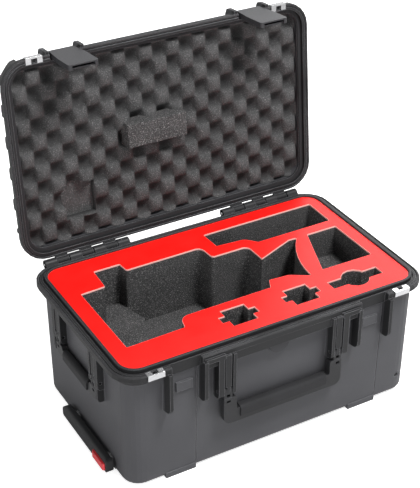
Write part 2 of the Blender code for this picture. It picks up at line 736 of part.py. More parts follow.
def add_wheel_wells(added, cut):
    """A pocket at each corner of the wheel end, a boss for its axle and a rounded lower edge."""
    reach = WHEEL_RADIUS + WHEEL_ROOM
    room = WHEEL_WIDTH / 2 + WHEEL_SIDE_ROOM
    top = WHEEL_Z + reach
    for side in (-1, 1):
        y = side * WHEEL_SPREAD / 2
        block = (WHEEL_X - reach - WELL_WALL, HALF_LENGTH + BURIED, y - room - WELL_WALL,
                 y + room + WELL_WALL)
        tool(added, box(*block, BURIED, top + WELL_WALL))
        tool(added, rod((WHEEL_X, y, WHEEL_Z), (WHEEL_X, side * (HALF_WIDTH + BURIED), WHEEL_Z), AXLE_BOSS))
        tool(cut, box(WHEEL_X - reach, HALF_LENGTH + 4 * WALL, y - room, y + room, -WALL, top))
        ends = [(WHEEL_X, side * place, WHEEL_Z) for place in (HALF_WIDTH + 2 * WALL, axle_start())]
        tool(cut, rod(*ends, AXLE_RADIUS + PIN_PLAY))
    end_x = HALF_LENGTH + WALL
    centre = (end_x - WHEEL_END_RADIUS, WHEEL_END_RADIUS)
    outline = arc(centre, WHEEL_END_RADIUS, -90, 0, 6)
    outline += [(end_x + WALL, centre[1]), (end_x + WALL, -WALL), (centre[0], -WALL)]
    tool(cut, prism(outline, "y", -HALF_WIDTH - 2 * WALL, HALF_WIDTH + 2 * WALL))


def axle_start():
    """How far from the middle the axles begin, in the wells' inner walls."""
    return WHEEL_SPREAD / 2 - WHEEL_WIDTH / 2 - WHEEL_SIDE_ROOM - WELL_WALL


def make_wheels():
    for name, side in (("front", -1), ("rear", 1)):
        centre = Vector((WHEEL_X, side * WHEEL_SPREAD / 2, WHEEL_Z))
        axis = new_axis(f"{name}_wheel_axis", centre)
        half = WHEEL_WIDTH / 2
        bead = HUB_RADIUS + FIT
        tread = WHEEL_RADIUS
        tyre = [(bead, half), (tread - half / 2, half), (tread, half / 3), (tread, -half / 3),
                (tread - half / 2, -half), (bead, -half)]
        part(f"{name}_wheel_tyre", turned(tyre, centre), TYRE, axis)
        bore = AXLE_RADIUS + PIN_PLAY
        dish = half - HUB_DISH
        nave = AXLE_RADIUS + WELL_WALL
        rim = HUB_RADIUS - WELL_WALL
        hub = [(bore, half), (nave, half), (nave + HUB_DISH, dish), (rim - HUB_DISH / 2, dish), (rim, half),
               (HUB_RADIUS, half), (HUB_RADIUS, -half), (rim, -half), (rim - HUB_DISH / 2, -dish),
               (nave + HUB_DISH, -dish), (nave, -half), (bore, -half)]
        part(f"{name}_wheel_hub", turned(hub, centre), SHELL, axis)
        outside = HALF_WIDTH + WALL - WALL_DRAFT - AXLE_SUNK
        ends = [(WHEEL_X, side * y, WHEEL_Z) for y in (outside, axle_start() + FIT)]
        part(f"{name}_wheel_axle", rod(*ends, AXLE_RADIUS), STEEL)


def make_lid(lid):
    shell = part("lid_shell", rim_loft(lid_profile()), SHELL, lid)
    added = tool_group("lid_added")
    cut = tool_group("lid_cut")
    low = LID_LOW + FLANGE_BREAK
    for side in (-1, 1):
        for step in (-1, 1):
            place = side * LATCH_X + step * LATCH_SPAN / 2
            outline = filleted([(BURIED, low, 0), (-GUARD_REACH, low, 0),
                                (-GUARD_REACH, low + EAR_HEIGHT * 0.75, RIB_ROUND),
                                (BURIED, low + EAR_HEIGHT, 0)])
            tool(added, prism(outline, "x", place - GUARD_RIB / 2, place + GUARD_RIB / 2, FRONT))
        ends = [(side * LATCH_X + step * LATCH_SPAN, -LATCH_PIVOT_OUT, LATCH_PIVOT_Z) for step in (-1, 1)]
        tool(cut, rod(*ends, LATCH_PIN_RADIUS + PIN_PLAY, FRONT))
    add_latch_notches(cut, LID_LOW - WALL, LATCH_PIVOT_Z + 2 * LATCH_BARREL)
    for frame in (LEFT, RIGHT):
        for place in LID_RIB_PLACES:
            outline = [(BURIED, low), (-SIDE_RIB_REACH, low), (-SIDE_RIB_REACH, low + FLANGE_THICKNESS),
                       (BURIED, low + FLANGE_THICKNESS + 2 * SHOULDER)]
            half = LID_RIB_THICKNESS / 2
            tool(added, prism(outline, "x", place - half, place + half, frame))
    middle = LID_LOW + FLANGE_THICKNESS / 2
    face = -FLANGE_REACH + LID_GROOVE_DEPTH
    tool(cut, box(-LID_GROOVE_HALF, LID_GROOVE_HALF, -FLANGE_REACH - WALL, face,
                  middle - LID_GROOVE_WIDTH / 2, middle + LID_GROOVE_WIDTH / 2, FRONT))
    for place in LID_NOTCH_PLACES:
        half = LID_NOTCH_LENGTH / 2
        tool(cut, box(place - half, place + half, -FLANGE_REACH - WALL, face + FIT, middle - LID_GROOVE_WIDTH,
                      middle + LID_GROOVE_WIDTH, FRONT))
    seat_side = RIDGE_WIDTH + GROOVE_WIDTH
    seat = [(-WALL, LID_LOW - WALL), (seat_side, LID_LOW - WALL), (seat_side, SEAT_HEIGHT),
            (-WALL, SEAT_HEIGHT)]
    tool(cut, rim_loft(seat, ring=True))
    add_knuckles(added, cut, lid_side=True)
    add_padlock_seats(cut, LID_LOW, LID_LOW + FLANGE_THICKNESS, upward=False)
    on_axis(added, lid)
    on_axis(cut, lid)
    combine(shell, added, "UNION")
    combine(shell, cut, "DIFFERENCE")

    low, high = SEAT_HEIGHT - FIT - GASKET_THICKNESS, SEAT_HEIGHT - FIT
    inner, outer = RIDGE_BREAK, seat_side - FIT
    ring = [(inner, low), (outer, low), (outer, high), (inner, high)]
    part("lid_gasket", rim_loft(ring, ring=True), RUBBER, lid)


def make_hinge_pins():
    for name, side in (("left", -1), ("right", 1)):
        frame = Matrix.Translation(HINGE_AT)
        ends = [(side * place, 0, 0) for place in (HINGE_INNER, HINGE_INNER + HINGE_LENGTH)]
        part(f"{name}_hinge_pin", rod(*ends, HINGE_PIN_RADIUS, frame), STEEL)


def make_padlock_plates(lid):
    """Bright forked plates folded over the flanges where a padlock goes through."""
    for name, side in (("left", -1), ("right", 1)):
        for where, axis in (("base", None), ("lid", lid)):
            upward = where == "base"
            low, high = (FLANGE_LOW, BASE_TOP) if upward else (LID_LOW, LID_LOW + FLANGE_THICKNESS)
            low, high = low + FLANGE_BREAK, high - FLANGE_BREAK
            near, far = -FLANGE_REACH + PLATE_LEG, -FLANGE_REACH - FIT
            t = PLATE_THICKNESS
            if upward:
                top = BASE_TOP - FIT / 2
                outline = [(far, low), (far, top - t), (near, top - t), (near, top), (far - t, top),
                           (far - t, low)]
            else:
                base = LID_LOW + FIT / 2
                outline = [(far, high), (far, base + t), (near, base + t), (near, base), (far - t, base),
                           (far - t, high)]
            x = side * PLATE_X
            plate = part(f"{name}_{where}_padlock_plate",
                         prism(outline, "x", x - PLATE_WIDTH / 2, x + PLATE_WIDTH / 2, FRONT), STEEL, axis)
            slot = tool_group(f"{name}_{where}_plate_slot")
            tool(slot, box(x - PLATE_SLOT / 2, x + PLATE_SLOT / 2, -FLANGE_REACH + PLATE_THICKNESS,
                           near + WALL, low - SHOULDER, high + SHOULDER, FRONT))
            if axis:
                on_axis(slot, axis)
            combine(plate, slot, "DIFFERENCE")


def on_axis(group, axis):
    for obj in group.objects:
        obj.parent = axis.empty
        obj.location = -axis.at


def make_latches(lid):
    """Each latch is a hollow flap on a barrel, with a sprung trigger whose hook holds the base's catch."""
    for name, side in (("left", -1), ("right", 1)):
        x = side * LATCH_X
        axis = new_axis(f"{name}_latch_axis", FRONT @ Vector((x, -LATCH_PIVOT_OUT, LATCH_PIVOT_Z)), lid)
        make_latch_flap(name, x, axis)
        half = LATCH_GAP + GUARD_RIB - FIT
        ends = [(x + step * half, -LATCH_PIVOT_OUT, LATCH_PIVOT_Z) for step in (-1, 1)]
        part(f"{name}_latch_pin", rod(*ends, LATCH_PIN_RADIUS, FRONT), STEEL, lid)
        make_trigger(name, x, axis)


def make_latch_flap(name, x, axis):
    outside, inside = -LATCH_OUT, LATCH_DEPTH - LATCH_OUT
    top = LATCH_PIVOT_Z + LATCH_SKIN
    low = top - LATCH_LENGTH
    half = LATCH_WIDTH / 2
    narrow = half - LATCH_TAPER
    waist = low + LATCH_LENGTH / 2
    outline = filleted([(x - narrow, top, 0), (x - half, waist, 6 * MM), (x - half, low, 4 * MM),
                        (x + half, low, 4 * MM), (x + half, waist, 6 * MM), (x + narrow, top, 0)])
    flap = part(f"{name}_latch", prism(outline, "y", outside, inside, FRONT), LATCH, axis)
    hollow = tool_group(f"{name}_latch_hollow")
    room = narrow - LATCH_SKIN
    tool(hollow, box(x - room, x + room, outside + LATCH_SKIN, inside + WALL, low - WALL,
                     LATCH_PIVOT_Z - LATCH_BARREL - 2 * LATCH_SKIN, FRONT))
    barrel = tool_group(f"{name}_latch_barrel")
    reach = LATCH_GAP - NOTCH_INSET - FIT
    ends = [(x + step * reach, -LATCH_PIVOT_OUT, LATCH_PIVOT_Z) for step in (-1, 1)]
    tool(barrel, rod(*ends, LATCH_BARREL, FRONT))
    bores = tool_group(f"{name}_latch_bores")
    ends = [(x + step * LATCH_SPAN, -LATCH_PIVOT_OUT, LATCH_PIVOT_Z) for step in (-1, 1)]
    tool(bores, rod(*ends, LATCH_PIN_RADIUS + PIN_PLAY, FRONT))
    pin_y, pin_z = trigger_pivot()
    ends = [(x + step * (half - FIT), pin_y, pin_z) for step in (-1, 1)]
    tool(bores, rod(*ends, TRIGGER_PIN_RADIUS + PIN_PLAY, FRONT))
    for group, operation in ((hollow, "DIFFERENCE"), (barrel, "UNION"), (bores, "DIFFERENCE")):
        on_axis(group, axis)
        combine(flap, group, operation)
    ends = [(x + step * (half - 2 * FIT), pin_y, pin_z) for step in (-1, 1)]
    part(f"{name}_trigger_pin", rod(*ends, TRIGGER_PIN_RADIUS, FRONT), STEEL, axis)


def trigger_pivot():
    """The trigger's pin, in the middle of its plate and just inside the flap's open face."""
    inside = LATCH_DEPTH - LATCH_OUT
    return inside - FIT - TRIGGER_PLATE / 2, LATCH_PIVOT_Z - TRIGGER_PIVOT_DROP


def make_trigger(name, x, latch):
    pin_y, pin_z = trigger_pivot()
    axis = new_axis(f"{name}_trigger_axis", FRONT @ Vector((x, pin_y, pin_z)), latch)
    half = LATCH_WIDTH / 2 - LATCH_TAPER - LATCH_SKIN - 2 * FIT
    back, face = pin_y - TRIGGER_PLATE / 2, pin_y + TRIGGER_PLATE / 2
    top, low = pin_z + TRIGGER_TAIL, pin_z + TRIGGER_TAIL - TRIGGER_LENGTH
    plate = part(f"{name}_trigger", box(x - half, x + half, back, face, low, top, FRONT), LATCH, axis)
    grown = tool_group(f"{name}_trigger_grown")
    tool(grown, rod((x - half + FIT, pin_y, pin_z), (x + half - FIT, pin_y, pin_z), TRIGGER_EYE, FRONT))
    tip = -CATCH_REACH - HOOK_CLEARANCE
    hook = HOOK_WIDTH / 2
    tool(grown, box(x - hook, x + hook, pin_y, tip, HOOK_TOP - HOOK_THICKNESS, HOOK_TOP, FRONT))
    bore = tool_group(f"{name}_trigger_bore")
    tool(bore, rod((x - LATCH_WIDTH, pin_y, pin_z), (x + LATCH_WIDTH, pin_y, pin_z),
                   TRIGGER_PIN_RADIUS + PIN_PLAY, FRONT))
    for group, operation in ((grown, "UNION"), (bore, "DIFFERENCE")):
        on_axis(group, axis)
        combine(plate, group, operation)


def make_handles():
    for handle in HANDLES:
        axis = new_axis(f"{handle.name}_axis", handle.frame @ Vector((0, -handle.out, handle.pivot_z)))
        make_handle(handle, axis)
        for end, side in (("a", -1), ("b", 1)):
            ends = [(place, -handle.out, handle.pivot_z) for place in handle_pin_ends(handle, side, FIT)]
            part(f"{handle.name}_pin_{end}", rod(*ends, HANDLE_PIN_RADIUS, handle.frame), STEEL)


def make_handle(handle, axis):
    """A flat bow with a fork at each end and a soft grip saddled on its bar, above the bare band."""
    frame = handle.frame
    half = handle.slot + HANDLE_OVERHANG
    top = handle.pivot_z - FIN_BELOW - GRIP_WALL
    low = handle.pivot_z - handle.drop
    inner = half - HANDLE_ARM
    bar_top = low + handle.bar
    outline = filleted([(-half, top, GRIP_WALL), (-half, low, HANDLE_CORNER), (half, low, HANDLE_CORNER),
                        (half, top, GRIP_WALL), (inner, top, GRIP_WALL), (inner, bar_top, GRIP_WALL),
                        (-inner, bar_top, GRIP_WALL), (-inner, top, GRIP_WALL)])
    near, far = -handle.out + handle.thickness / 2, -handle.out - handle.thickness / 2
    bow = part(f"{handle.name}_bow", prism(outline, "y", far, near, frame), SHELL, axis)
    forks = tool_group(f"{handle.name}_forks")
    cut = tool_group(f"{handle.name}_cut")
    width = SLOT - 2 * FIT
    for side in (-1, 1):
        middle = side * handle.slot
        outline = arc((-handle.out, handle.pivot_z), HANDLE_EYE, 0, 180, 8)
        stem = handle.thickness / 2 - 1 * MM
        outline += [(-handle.out - stem, top - WALL), (-handle.out + stem, top - WALL)]
        tool(forks, prism(outline, "x", middle - width / 2, middle + width / 2, frame))
        half_notch = FORK_NOTCH / 2
        tool(cut, box(middle - half_notch, middle + half_notch, far - WALL, near + WALL,
                      handle.pivot_z - FORK_DEPTH, handle.pivot_z + 2 * HANDLE_EYE, frame))
        ends = [(middle + step * SLOT, -handle.out, handle.pivot_z) for step in (-1, 1)]
        tool(cut, rod(*ends, HANDLE_PIN_RADIUS + PIN_PLAY, frame))
        window = handle.pivot_z - WINDOW_DROP
        tool(cut, box(middle - WINDOW_WIDTH / 2, middle + WINDOW_WIDTH / 2, far - WALL, far + WINDOW_DEPTH,
                      window - WINDOW_HEIGHT / 2, window + WINDOW_HEIGHT / 2, frame))
    for group, operation in ((forks, "UNION"), (cut, "DIFFERENCE")):
        on_axis(group, axis)
        combine(bow, group, operation)

    reach = inner - GRIP_END_GAP
    back, front = near + GRIP_INSIDE, far - GRIP_WALL
    edge = low + handle.band
    outline = filleted([(back, edge, 1 * MM), (front, edge, 1 * MM), (front, bar_top + GRIP_WALL, 7 * MM),
                        (back, bar_top + GRIP_WALL, 5 * MM)])
    grip = part(f"{handle.name}_grip", prism(outline, "x", -reach, reach, frame), RUBBER, axis)
    bore = tool_group(f"{handle.name}_grip_bore")
    tool(bore, box(-half, half, far - FIT, near + FIT, low - WALL, bar_top + FIT, frame))
    on_axis(bore, axis)
    combine(grip, bore, "DIFFERENCE")


def make_valve():
    disc = arc((VALVE_X, BAND_LOW - FIT), VALVE_RADIUS, 180, 360, 14)
    part("pressure_valve", prism(disc, "y", -VALVE_THICKNESS, -FIT, FRONT), LATCH)


def make_pull_handle():
    start = -HALF_LENGTH - WALL
    axis = new_axis("pull_handle_axis", Vector((start, PULL_Y, TUBE_HEIGHT)))
    grip_near = start - PULL_GRIP_STANDOFF
    for name, side in (("front", -1), ("rear", 1)):
        y = PULL_Y + side * TUBE_SPREAD / 2
        sleeve_start = start - SLEEVE_PROUD
        ends = [(sleeve_start, y, TUBE_HEIGHT), (sleeve_start + SLEEVE_LENGTH, y, TUBE_HEIGHT)]
        part(f"{name}_pull_sleeve", pipe(*ends, SLEEVE_RADIUS, TUBE_RADIUS + FIT), STEEL)
        ends = [(grip_near + FIT, y, TUBE_HEIGHT), (grip_near + FIT + TUBE_LENGTH, y, TUBE_HEIGHT)]
        part(f"{name}_pull_tube", rod(*ends, TUBE_RADIUS), STEEL, axis)
    make_pull_grip(grip_near, axis)
    make_channel_cover()


def make_pull_grip(near, axis):
    far = near - PULL_GRIP_THICKNESS
    low, high = TUBE_HEIGHT - PULL_GRIP_HEIGHT / 2, TUBE_HEIGHT + PULL_GRIP_HEIGHT / 2
    y0, y1 = PULL_Y - PULL_GRIP_LENGTH / 2, PULL_Y + PULL_GRIP_LENGTH / 2
    outline = filleted([(near, low, PULL_GRIP_ROUND / 3), (near, high, PULL_GRIP_ROUND / 3),
                        (far, high, PULL_GRIP_ROUND), (far, low, PULL_GRIP_ROUND)])
    grip = part("pull_grip", prism(outline, "y", y0, y1), SHELL, axis)
    ends = tool_group("pull_grip_ends")
    outline = filleted([(y0, low, PULL_GRIP_END_ROUND), (y1, low, PULL_GRIP_END_ROUND),
                        (y1, high, PULL_GRIP_END_ROUND), (y0, high, PULL_GRIP_END_ROUND)])
    tool(ends, prism(outline, "x", far - WALL, near + WALL))
    on_axis(ends, axis)
    combine(grip, ends, "INTERSECT")
    pocket = tool_group("button_pocket")
    b0 = y0 + BUTTON_FROM_END
    b1 = b0 + BUTTON_LENGTH
    z0, z1 = TUBE_HEIGHT - BUTTON_HEIGHT / 2, TUBE_HEIGHT + BUTTON_HEIGHT / 2
    floor = far + BUTTON_SEAT + BUTTON_TRAVEL + FIT
    tool(pocket, box(far - WALL, floor, b0 - FIT, b1 + FIT, z0 - FIT, z1 + FIT))
    on_axis(pocket, axis)
    combine(grip, pocket, "DIFFERENCE")
    button_axis = new_axis("release_button_axis", Vector((far, (b0 + b1) / 2, TUBE_HEIGHT)), axis)
    face = far - BUTTON_PROUD
    outline = filleted([(far + BUTTON_SEAT, b0, 0), (far + BUTTON_SEAT, b1, 0), (face, b1, 3 * MM),
                        (face, b0, 3 * MM)])
    part("release_button", prism(outline, "z", z0, z1), RED_PLASTIC, button_axis)


def make_channel_cover():
    """The plate that closes the tunnel from below, with ribs that bear the sleeves."""
    x0, x1 = -HALF_LENGTH + FIT, -HALF_LENGTH + CHANNEL_LENGTH - FIT
    y0, y1 = PULL_Y - CHANNEL_HALF + FIT, PULL_Y + CHANNEL_HALF - FIT
    cover = part("pull_channel_cover", box(x0, x1, y0, y1, 0, CHANNEL_COVER), SHELL)
    ribs = tool_group("cover_ribs")
    top = TUBE_HEIGHT - SLEEVE_RADIUS - FIT
    for share in COVER_RIBS:
        middle = x0 + share * SLEEVE_LENGTH
        half = COVER_RIB_LENGTH / 2
        tool(ribs, box(middle - half, middle + half, y0 + CHANNEL_WALL, y1 - CHANNEL_WALL,
                       CHANNEL_COVER / 2, top))
    combine(cover, ribs, "UNION")


def foam_edges():
    """The left, right, front and back edges of the foam in the base."""
    reach_x, reach_y = HALF_LENGTH - FOAM_CLEARANCE, HALF_WIDTH - FOAM_CLEARANCE
    return -reach_x, reach_x, -reach_y, reach_y


def drone_corners():
    """The long stepped cavity's corners, measured from the foam's edges, clockwise from the back left."""
    left, right, front, back = foam_edges()
    tip, heel = (right - 110 * MM, back - 120 * MM), (right - 155 * MM, front + 90 * MM)
    return [
        (left + 79 * MM, back - 41 * MM, 2 * MM), (left + 129 * MM, back - 41 * MM, 2 * MM),
        (left + 131 * MM, back - 64 * MM, 4 * MM), (right - 279 * MM, back - 63 * MM, 12 * MM),
        (right - 276 * MM, back - 101 * MM, 7 * MM), (right - 203 * MM, back - 101 * MM, 12 * MM),
        (right - 202 * MM, back - 149 * MM, 0), (right - 126 * MM, back - 119 * MM, 8 * MM), (*tip, 2 * MM),
        *bowed(tip, heel, -11 * MM), (*heel, 2 * MM), (right - 189 * MM, front + 111 * MM, 10 * MM),
        (right - 227 * MM, front + 114 * MM, 2 * MM), (right - 237 * MM, front + 93 * MM, 3 * MM),
        (left + 145 * MM, front + 92 * MM, 18 * MM), (left + 138 * MM, front + 63 * MM, 4 * MM),
        (left + 30 * MM, front + 60 * MM, 2 * MM), (left + 30 * MM, back - 94 * MM, 2 * MM),
        (left + 76 * MM, back - 92 * MM, 2 * MM)]


def deep_outline():
    """The same cavity right of the ledge at its left end, where it goes down into the bed."""
    left, right, front, back = foam_edges()
    ledge = [(left + 123 * MM, front + 62 * MM, 0), (left + 123 * MM, back - 146 * MM, 0),
             (left + 143 * MM, back - 107 * MM, 0)]
    return filleted(drone_corners()[2:-3] + ledge)


def strip_outline():
    left, right, front, back = foam_edges()
    return filleted([
        (right - 253 * MM, back - 29 * MM, 2 * MM), (right - 22 * MM, back - 29 * MM, 2 * MM),
        (right - 23 * MM, back - 98 * MM, 2 * MM), (right - 178 * MM, back - 98 * MM, 0),
        (right - 195 * MM, back - 78 * MM, 16 * MM), (right - 251 * MM, back - 73 * MM, 2 * MM)])


def wedge_outline():
    left, right, front, back = foam_edges()
    return filleted([
        (right - 87 * MM, back - 120 * MM, 2 * MM), (right - 25 * MM, back - 120 * MM, 2 * MM),
        (right - 24 * MM, front + 95 * MM, 2 * MM), (right - 128 * MM, front + 96 * MM, 2 * MM)])


def foam_cutters(group):
    """One upright cutter for each cavity, from its own floor to above the red sheet."""
    left, right, front, back = foam_edges()
    high = FOAM_TOP + WALL
    for outline, depth in ((filleted(drone_corners()), DRONE_DEPTH + RED_SHEET),
                           (strip_outline(), TRAY_DEPTH),
                           (wedge_outline(), TRAY_DEPTH)):
        tool(group, prism(outline, "z", FOAM_TOP - depth, high))
    low = FOAM_TOP - SLOT_DEPTH
    for x in (right - 326 * MM, right - 203 * MM):
        y = front + 50 * MM
        half_x, half_y = SOCKET_LENGTH / 2, SOCKET_WIDTH / 2
        tab_x, tab_y = SOCKET_TAB_LENGTH / 2, SOCKET_TAB_WIDTH / 2
        outline = [(half_x, tab_y), (half_x, half_y), (-half_x, half_y), (-half_x, tab_y), (-tab_x, tab_y),
                   (-tab_x, -tab_y), (-half_x, -tab_y), (-half_x, -half_y), (half_x, -half_y),
                   (half_x, -tab_y),
                   (tab_x, -tab_y), (tab_x, tab_y)]
        tool(group, prism([(x + a, y + b) for a, b in outline], "z", low, high))
    x, y = right - 93 * MM, front + 47 * MM
    tool(group, box(x - BAR_SLOT_LENGTH / 2, x + BAR_SLOT_LENGTH / 2, y - BAR_SLOT_WIDTH / 2,
                    y + BAR_SLOT_WIDTH / 2, low, high))
    tool(group, rod((x, y, low - FIT), (x, y, high), BAR_SLOT_DISC))


def make_base_foam():
    left, right, front, back = foam_edges()
    outline = rounded_rect(right, back, INNER_CORNER - FOAM_CLEARANCE)
    cutters = tool_group("foam_cavities")
    foam_cutters(cutters)
    sheet_low = FOAM_TOP - RED_SHEET
    tray_low = sheet_low - DRONE_DEPTH
    sheet = part("red_foam_top", prism(outline, "z", sheet_low, FOAM_TOP), RED_FOAM)
    tray = part("foam_tray", prism(outline, "z", tray_low, sheet_low - FIT), CHARCOAL)
    for obj in (sheet, tray):
        combine(obj, cutters, "DIFFERENCE")
    bed = part("foam_bed", prism(outline, "z", FLOOR_TOP + FIT, tray_low - FIT), CHARCOAL)
    notches = tool_group("foam_bed_notches")
    tool(notches, prism(deep_outline(), "z", tray_low - DEEP_POCKET, tray_low + WALL))
    grown = CHANNEL_WALL + FOAM_CLEARANCE
    tool(notches, box(left - WALL, -HALF_LENGTH + CHANNEL_LENGTH + grown, PULL_Y - CHANNEL_HALF - grown,
                      PULL_Y + CHANNEL_HALF + grown, 0, CHANNEL_TOP + grown))
    reach = WHEEL_RADIUS + WHEEL_ROOM + WELL_WALL + FOAM_CLEARANCE
    inner = axle_start() - FOAM_CLEARANCE
    for side in (-1, 1):
        y0, y1 = sorted((side * inner, side * (HALF_WIDTH + WALL)))
        tool(notches, box(WHEEL_X - reach, HALF_LENGTH + WALL, y0, y1, 0, WHEEL_Z + reach))
    combine(bed, notches, "DIFFERENCE")


def make_lid_foam(lid):
    """Egg-crate foam: staggered bumps by a formula, with a pocket and a block that presses on the drone."""
    left, right, front, back = foam_edges()
    peak = FOAM_TOP + LID_FOAM_PEAK_GAP
    middle = peak + LID_FOAM_RELIEF / 2
    step_x, step_y = LID_FOAM_PITCH / 2, LID_FOAM_ROW
    columns = 2 * math.ceil(right / step_x + 0.5)
    rows = 2 * math.ceil(back / step_y + 0.5)
    bm = bmesh.new()
    bmesh.ops.create_grid(bm, x_segments=columns, y_segments=rows, size=0.5)
    for vert in bm.verts:
        x, y = vert.co.x * columns * step_x, vert.co.y * rows * step_y
        wave = math.cos(math.tau * x / LID_FOAM_PITCH) * math.cos(math.pi * y / LID_FOAM_ROW)
        vert.co = (x, y, middle - wave * LID_FOAM_RELIEF / 2)
    bmesh.ops.poke(bm, faces=bm.faces[:])
    slab = bmesh.ops.extrude_face_region(bm, geom=bm.faces[:])
    for vert in slab["geom"]:
        if isinstance(vert, bmesh.types.BMVert):
            vert.co.z = LID_TOP + WALL
    foam = part("lid_foam", bm, CHARCOAL, lid)
    trim = tool_group("lid_foam_trim")
    round_ = LID_EDGE_RADIUS - WALL + WALL_DRAFT - FOAM_CLEARANCE
    tool(trim, rim_loft([(-FOAM_CLEARANCE, peak - WALL)] + arc(lid_edge_centre(), round_, 0, 90, 5)))
    pockets = tool_group("lid_foam_pockets")
    block_seat = peak + LID_FOAM_RELIEF
    for x, y, length, width, floor in (
            (PRESS_BLOCK_X, PRESS_BLOCK_Y, PRESS_BLOCK_LENGTH + FOAM_CLEARANCE,
             PRESS_BLOCK_WIDTH + FOAM_CLEARANCE,
             block_seat),
            (LID_POCKET_X, LID_POCKET_Y, LID_POCKET_LENGTH, LID_POCKET_WIDTH, peak + LID_POCKET_DEPTH)):
        tool(pockets, box(x - length / 2, x + length / 2, y - width / 2, y + width / 2, peak - WALL, floor))
    for group, operation in ((trim, "INTERSECT"), (pockets, "DIFFERENCE")):
        on_axis(group, lid)
        combine(foam, group, operation)
    x0, x1 = PRESS_BLOCK_X - PRESS_BLOCK_LENGTH / 2, PRESS_BLOCK_X + PRESS_BLOCK_LENGTH / 2
    y0, y1 = PRESS_BLOCK_Y - PRESS_BLOCK_WIDTH / 2, PRESS_BLOCK_Y + PRESS_BLOCK_WIDTH / 2
    part("lid_press_block", box(x0, x1, y0, y1, peak - PRESS_BLOCK_REACH, block_seat - FIT), CHARCOAL, lid)


def main():
    lid = new_axis("lid_axis", HINGE_AT, turn=-LID_OPEN)
    make_base()
    make_lid(lid)
    make_hinge_pins()
    make_padlock_plates(lid)
    make_latches(lid)
    make_handles()
    make_valve()
    make_pull_handle()
    make_wheels()
    make_base_foam()
    make_lid_foam(lid)
    bpy.context.view_layer.update()


main()
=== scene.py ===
"""Looks of an open wheeled hard case with a red-topped foam insert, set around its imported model."""

import json
import math

import bmesh
import bpy
from mathutils import Matrix, Vector, noise


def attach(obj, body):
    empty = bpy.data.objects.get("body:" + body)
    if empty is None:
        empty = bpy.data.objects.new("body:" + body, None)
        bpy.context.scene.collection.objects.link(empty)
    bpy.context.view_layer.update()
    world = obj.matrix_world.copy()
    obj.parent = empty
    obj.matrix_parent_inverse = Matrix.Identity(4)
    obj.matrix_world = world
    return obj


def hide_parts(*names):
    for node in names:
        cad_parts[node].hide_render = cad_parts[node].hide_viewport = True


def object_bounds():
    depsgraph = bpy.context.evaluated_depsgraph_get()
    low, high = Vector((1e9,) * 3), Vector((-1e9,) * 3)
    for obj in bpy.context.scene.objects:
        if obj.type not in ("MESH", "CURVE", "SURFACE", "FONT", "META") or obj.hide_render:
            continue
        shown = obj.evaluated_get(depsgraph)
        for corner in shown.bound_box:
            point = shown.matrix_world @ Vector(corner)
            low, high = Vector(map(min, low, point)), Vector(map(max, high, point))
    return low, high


MM = 0.001

# Lid foam, in the shut lid: staggered bumps, a cut pocket and a glued-on press block
LID_TURN = math.radians(-96)
LID_AXIS = Vector((0, 192.25, 235)) * MM
FOAM_HALF_X = 279.5 * MM
FOAM_HALF_Y = 163.75 * MM
FOAM_CORNER = 27.5 * MM
CRATE_PITCH = 53 * MM
CRATE_ROW = 29 * MM
CRATE_RELIEF = 20 * MM
CRATE_PEAK = 243 * MM
CRATE_BACK = 286 * MM
CRATE_SQUARENESS = 0.5
CRATE_CELLS = (280, 166)
CRATE_UNEVEN_SCALE = 30.0
CRATE_UNEVEN_DEPTH = 3.0 * MM
CRATE_TORN_SCALE = 260.0
CRATE_TORN_DEPTH = 1.2 * MM
POCKET_MIDDLE = (-176 * MM, 95 * MM)
POCKET_HALF = (30 * MM, 33 * MM)
POCKET_FLOOR = 269 * MM
BLOCK_EDGE = 2 * MM
BLOCK_VOXEL = 1.6 * MM
BLOCK_TORN_DEPTH = 1.0 * MM
BLOCK_TORN_SIZE = 3 * MM

# Base foam: how far the bed is raised to close its joint with the tray, and the width of the painted
# highlight on the red sheet's cut edge
LAYER_LIFT = 0.5 * MM
CUT_EDGE_HIGHLIGHT_WIDTH = 1.9 * MM

# Moulded forms on the base: fuller hinge knuckles, and skids under the front
HINGE_INNER = 98 * MM
HINGE_LENGTH = 166 * MM
HINGE_KNUCKLES = 7
KNUCKLE_PITCH = HINGE_LENGTH / HINGE_KNUCKLES
KNUCKLE_GAP = 1.2 * MM
KNUCKLE_RADIUS = 8.2 * MM
SKID_EDGE = 0.5 * MM
SKIDS = (((-216, -168.2, -3), (-159, -150, 9)), ((152, -168.2, -3), (209, -150, 9)))

# Where painted shade darkens the shells: beyond the base's walls, and near the parting plane on the lid
WALL_HALF_X = 285.6 * MM
WALL_HALF_Y = 173.2 * MM
RIM_LOW = 212 * MM
LID_RIM_DEPTH = 16 * MM
FADE = 1.2 * MM

# Surfaces: sizes of the slow changes of tone, heights of the grain, and where edges get a painted highlight
MOTTLE_SCALE = 11.0
TONE_SCALE = 26.0
GRAIN_HEIGHT = 0.4 * MM
CELL_HEIGHT = 1.2 * MM
EDGE_BEND = (0.985, 0.80)
EDGE_HIGHLIGHT_PATCHES = (0.25, 0.55)
PIT_SHADE = 0.35
PIT_SHARE = 0.7
HOLLOW_SHADE = 0.45

# Stage: light from the world, the floor, and each lamp's place, aim, size in metres and power in watts
WORLD_LEVEL = 0.26
FLOOR_RADIUS = 6
FLOOR_GLOW = 0.75
LAMPS = {
    "key": ((0.7, -1.3, 3.1), (0, 0, 0.2), 0.9, 130),
    "front_fill": ((-0.2, -3.2, 0.7), (0, 0, 0.2), 1.8, 22),
    "left_fill": ((-2.8, -0.8, 1.2), (0, 0, 0.2), 1.4, 26),
    "back_right": ((1.9, 1.6, 1.9), (0.1, 0, 0.2), 1.4, 45),
}

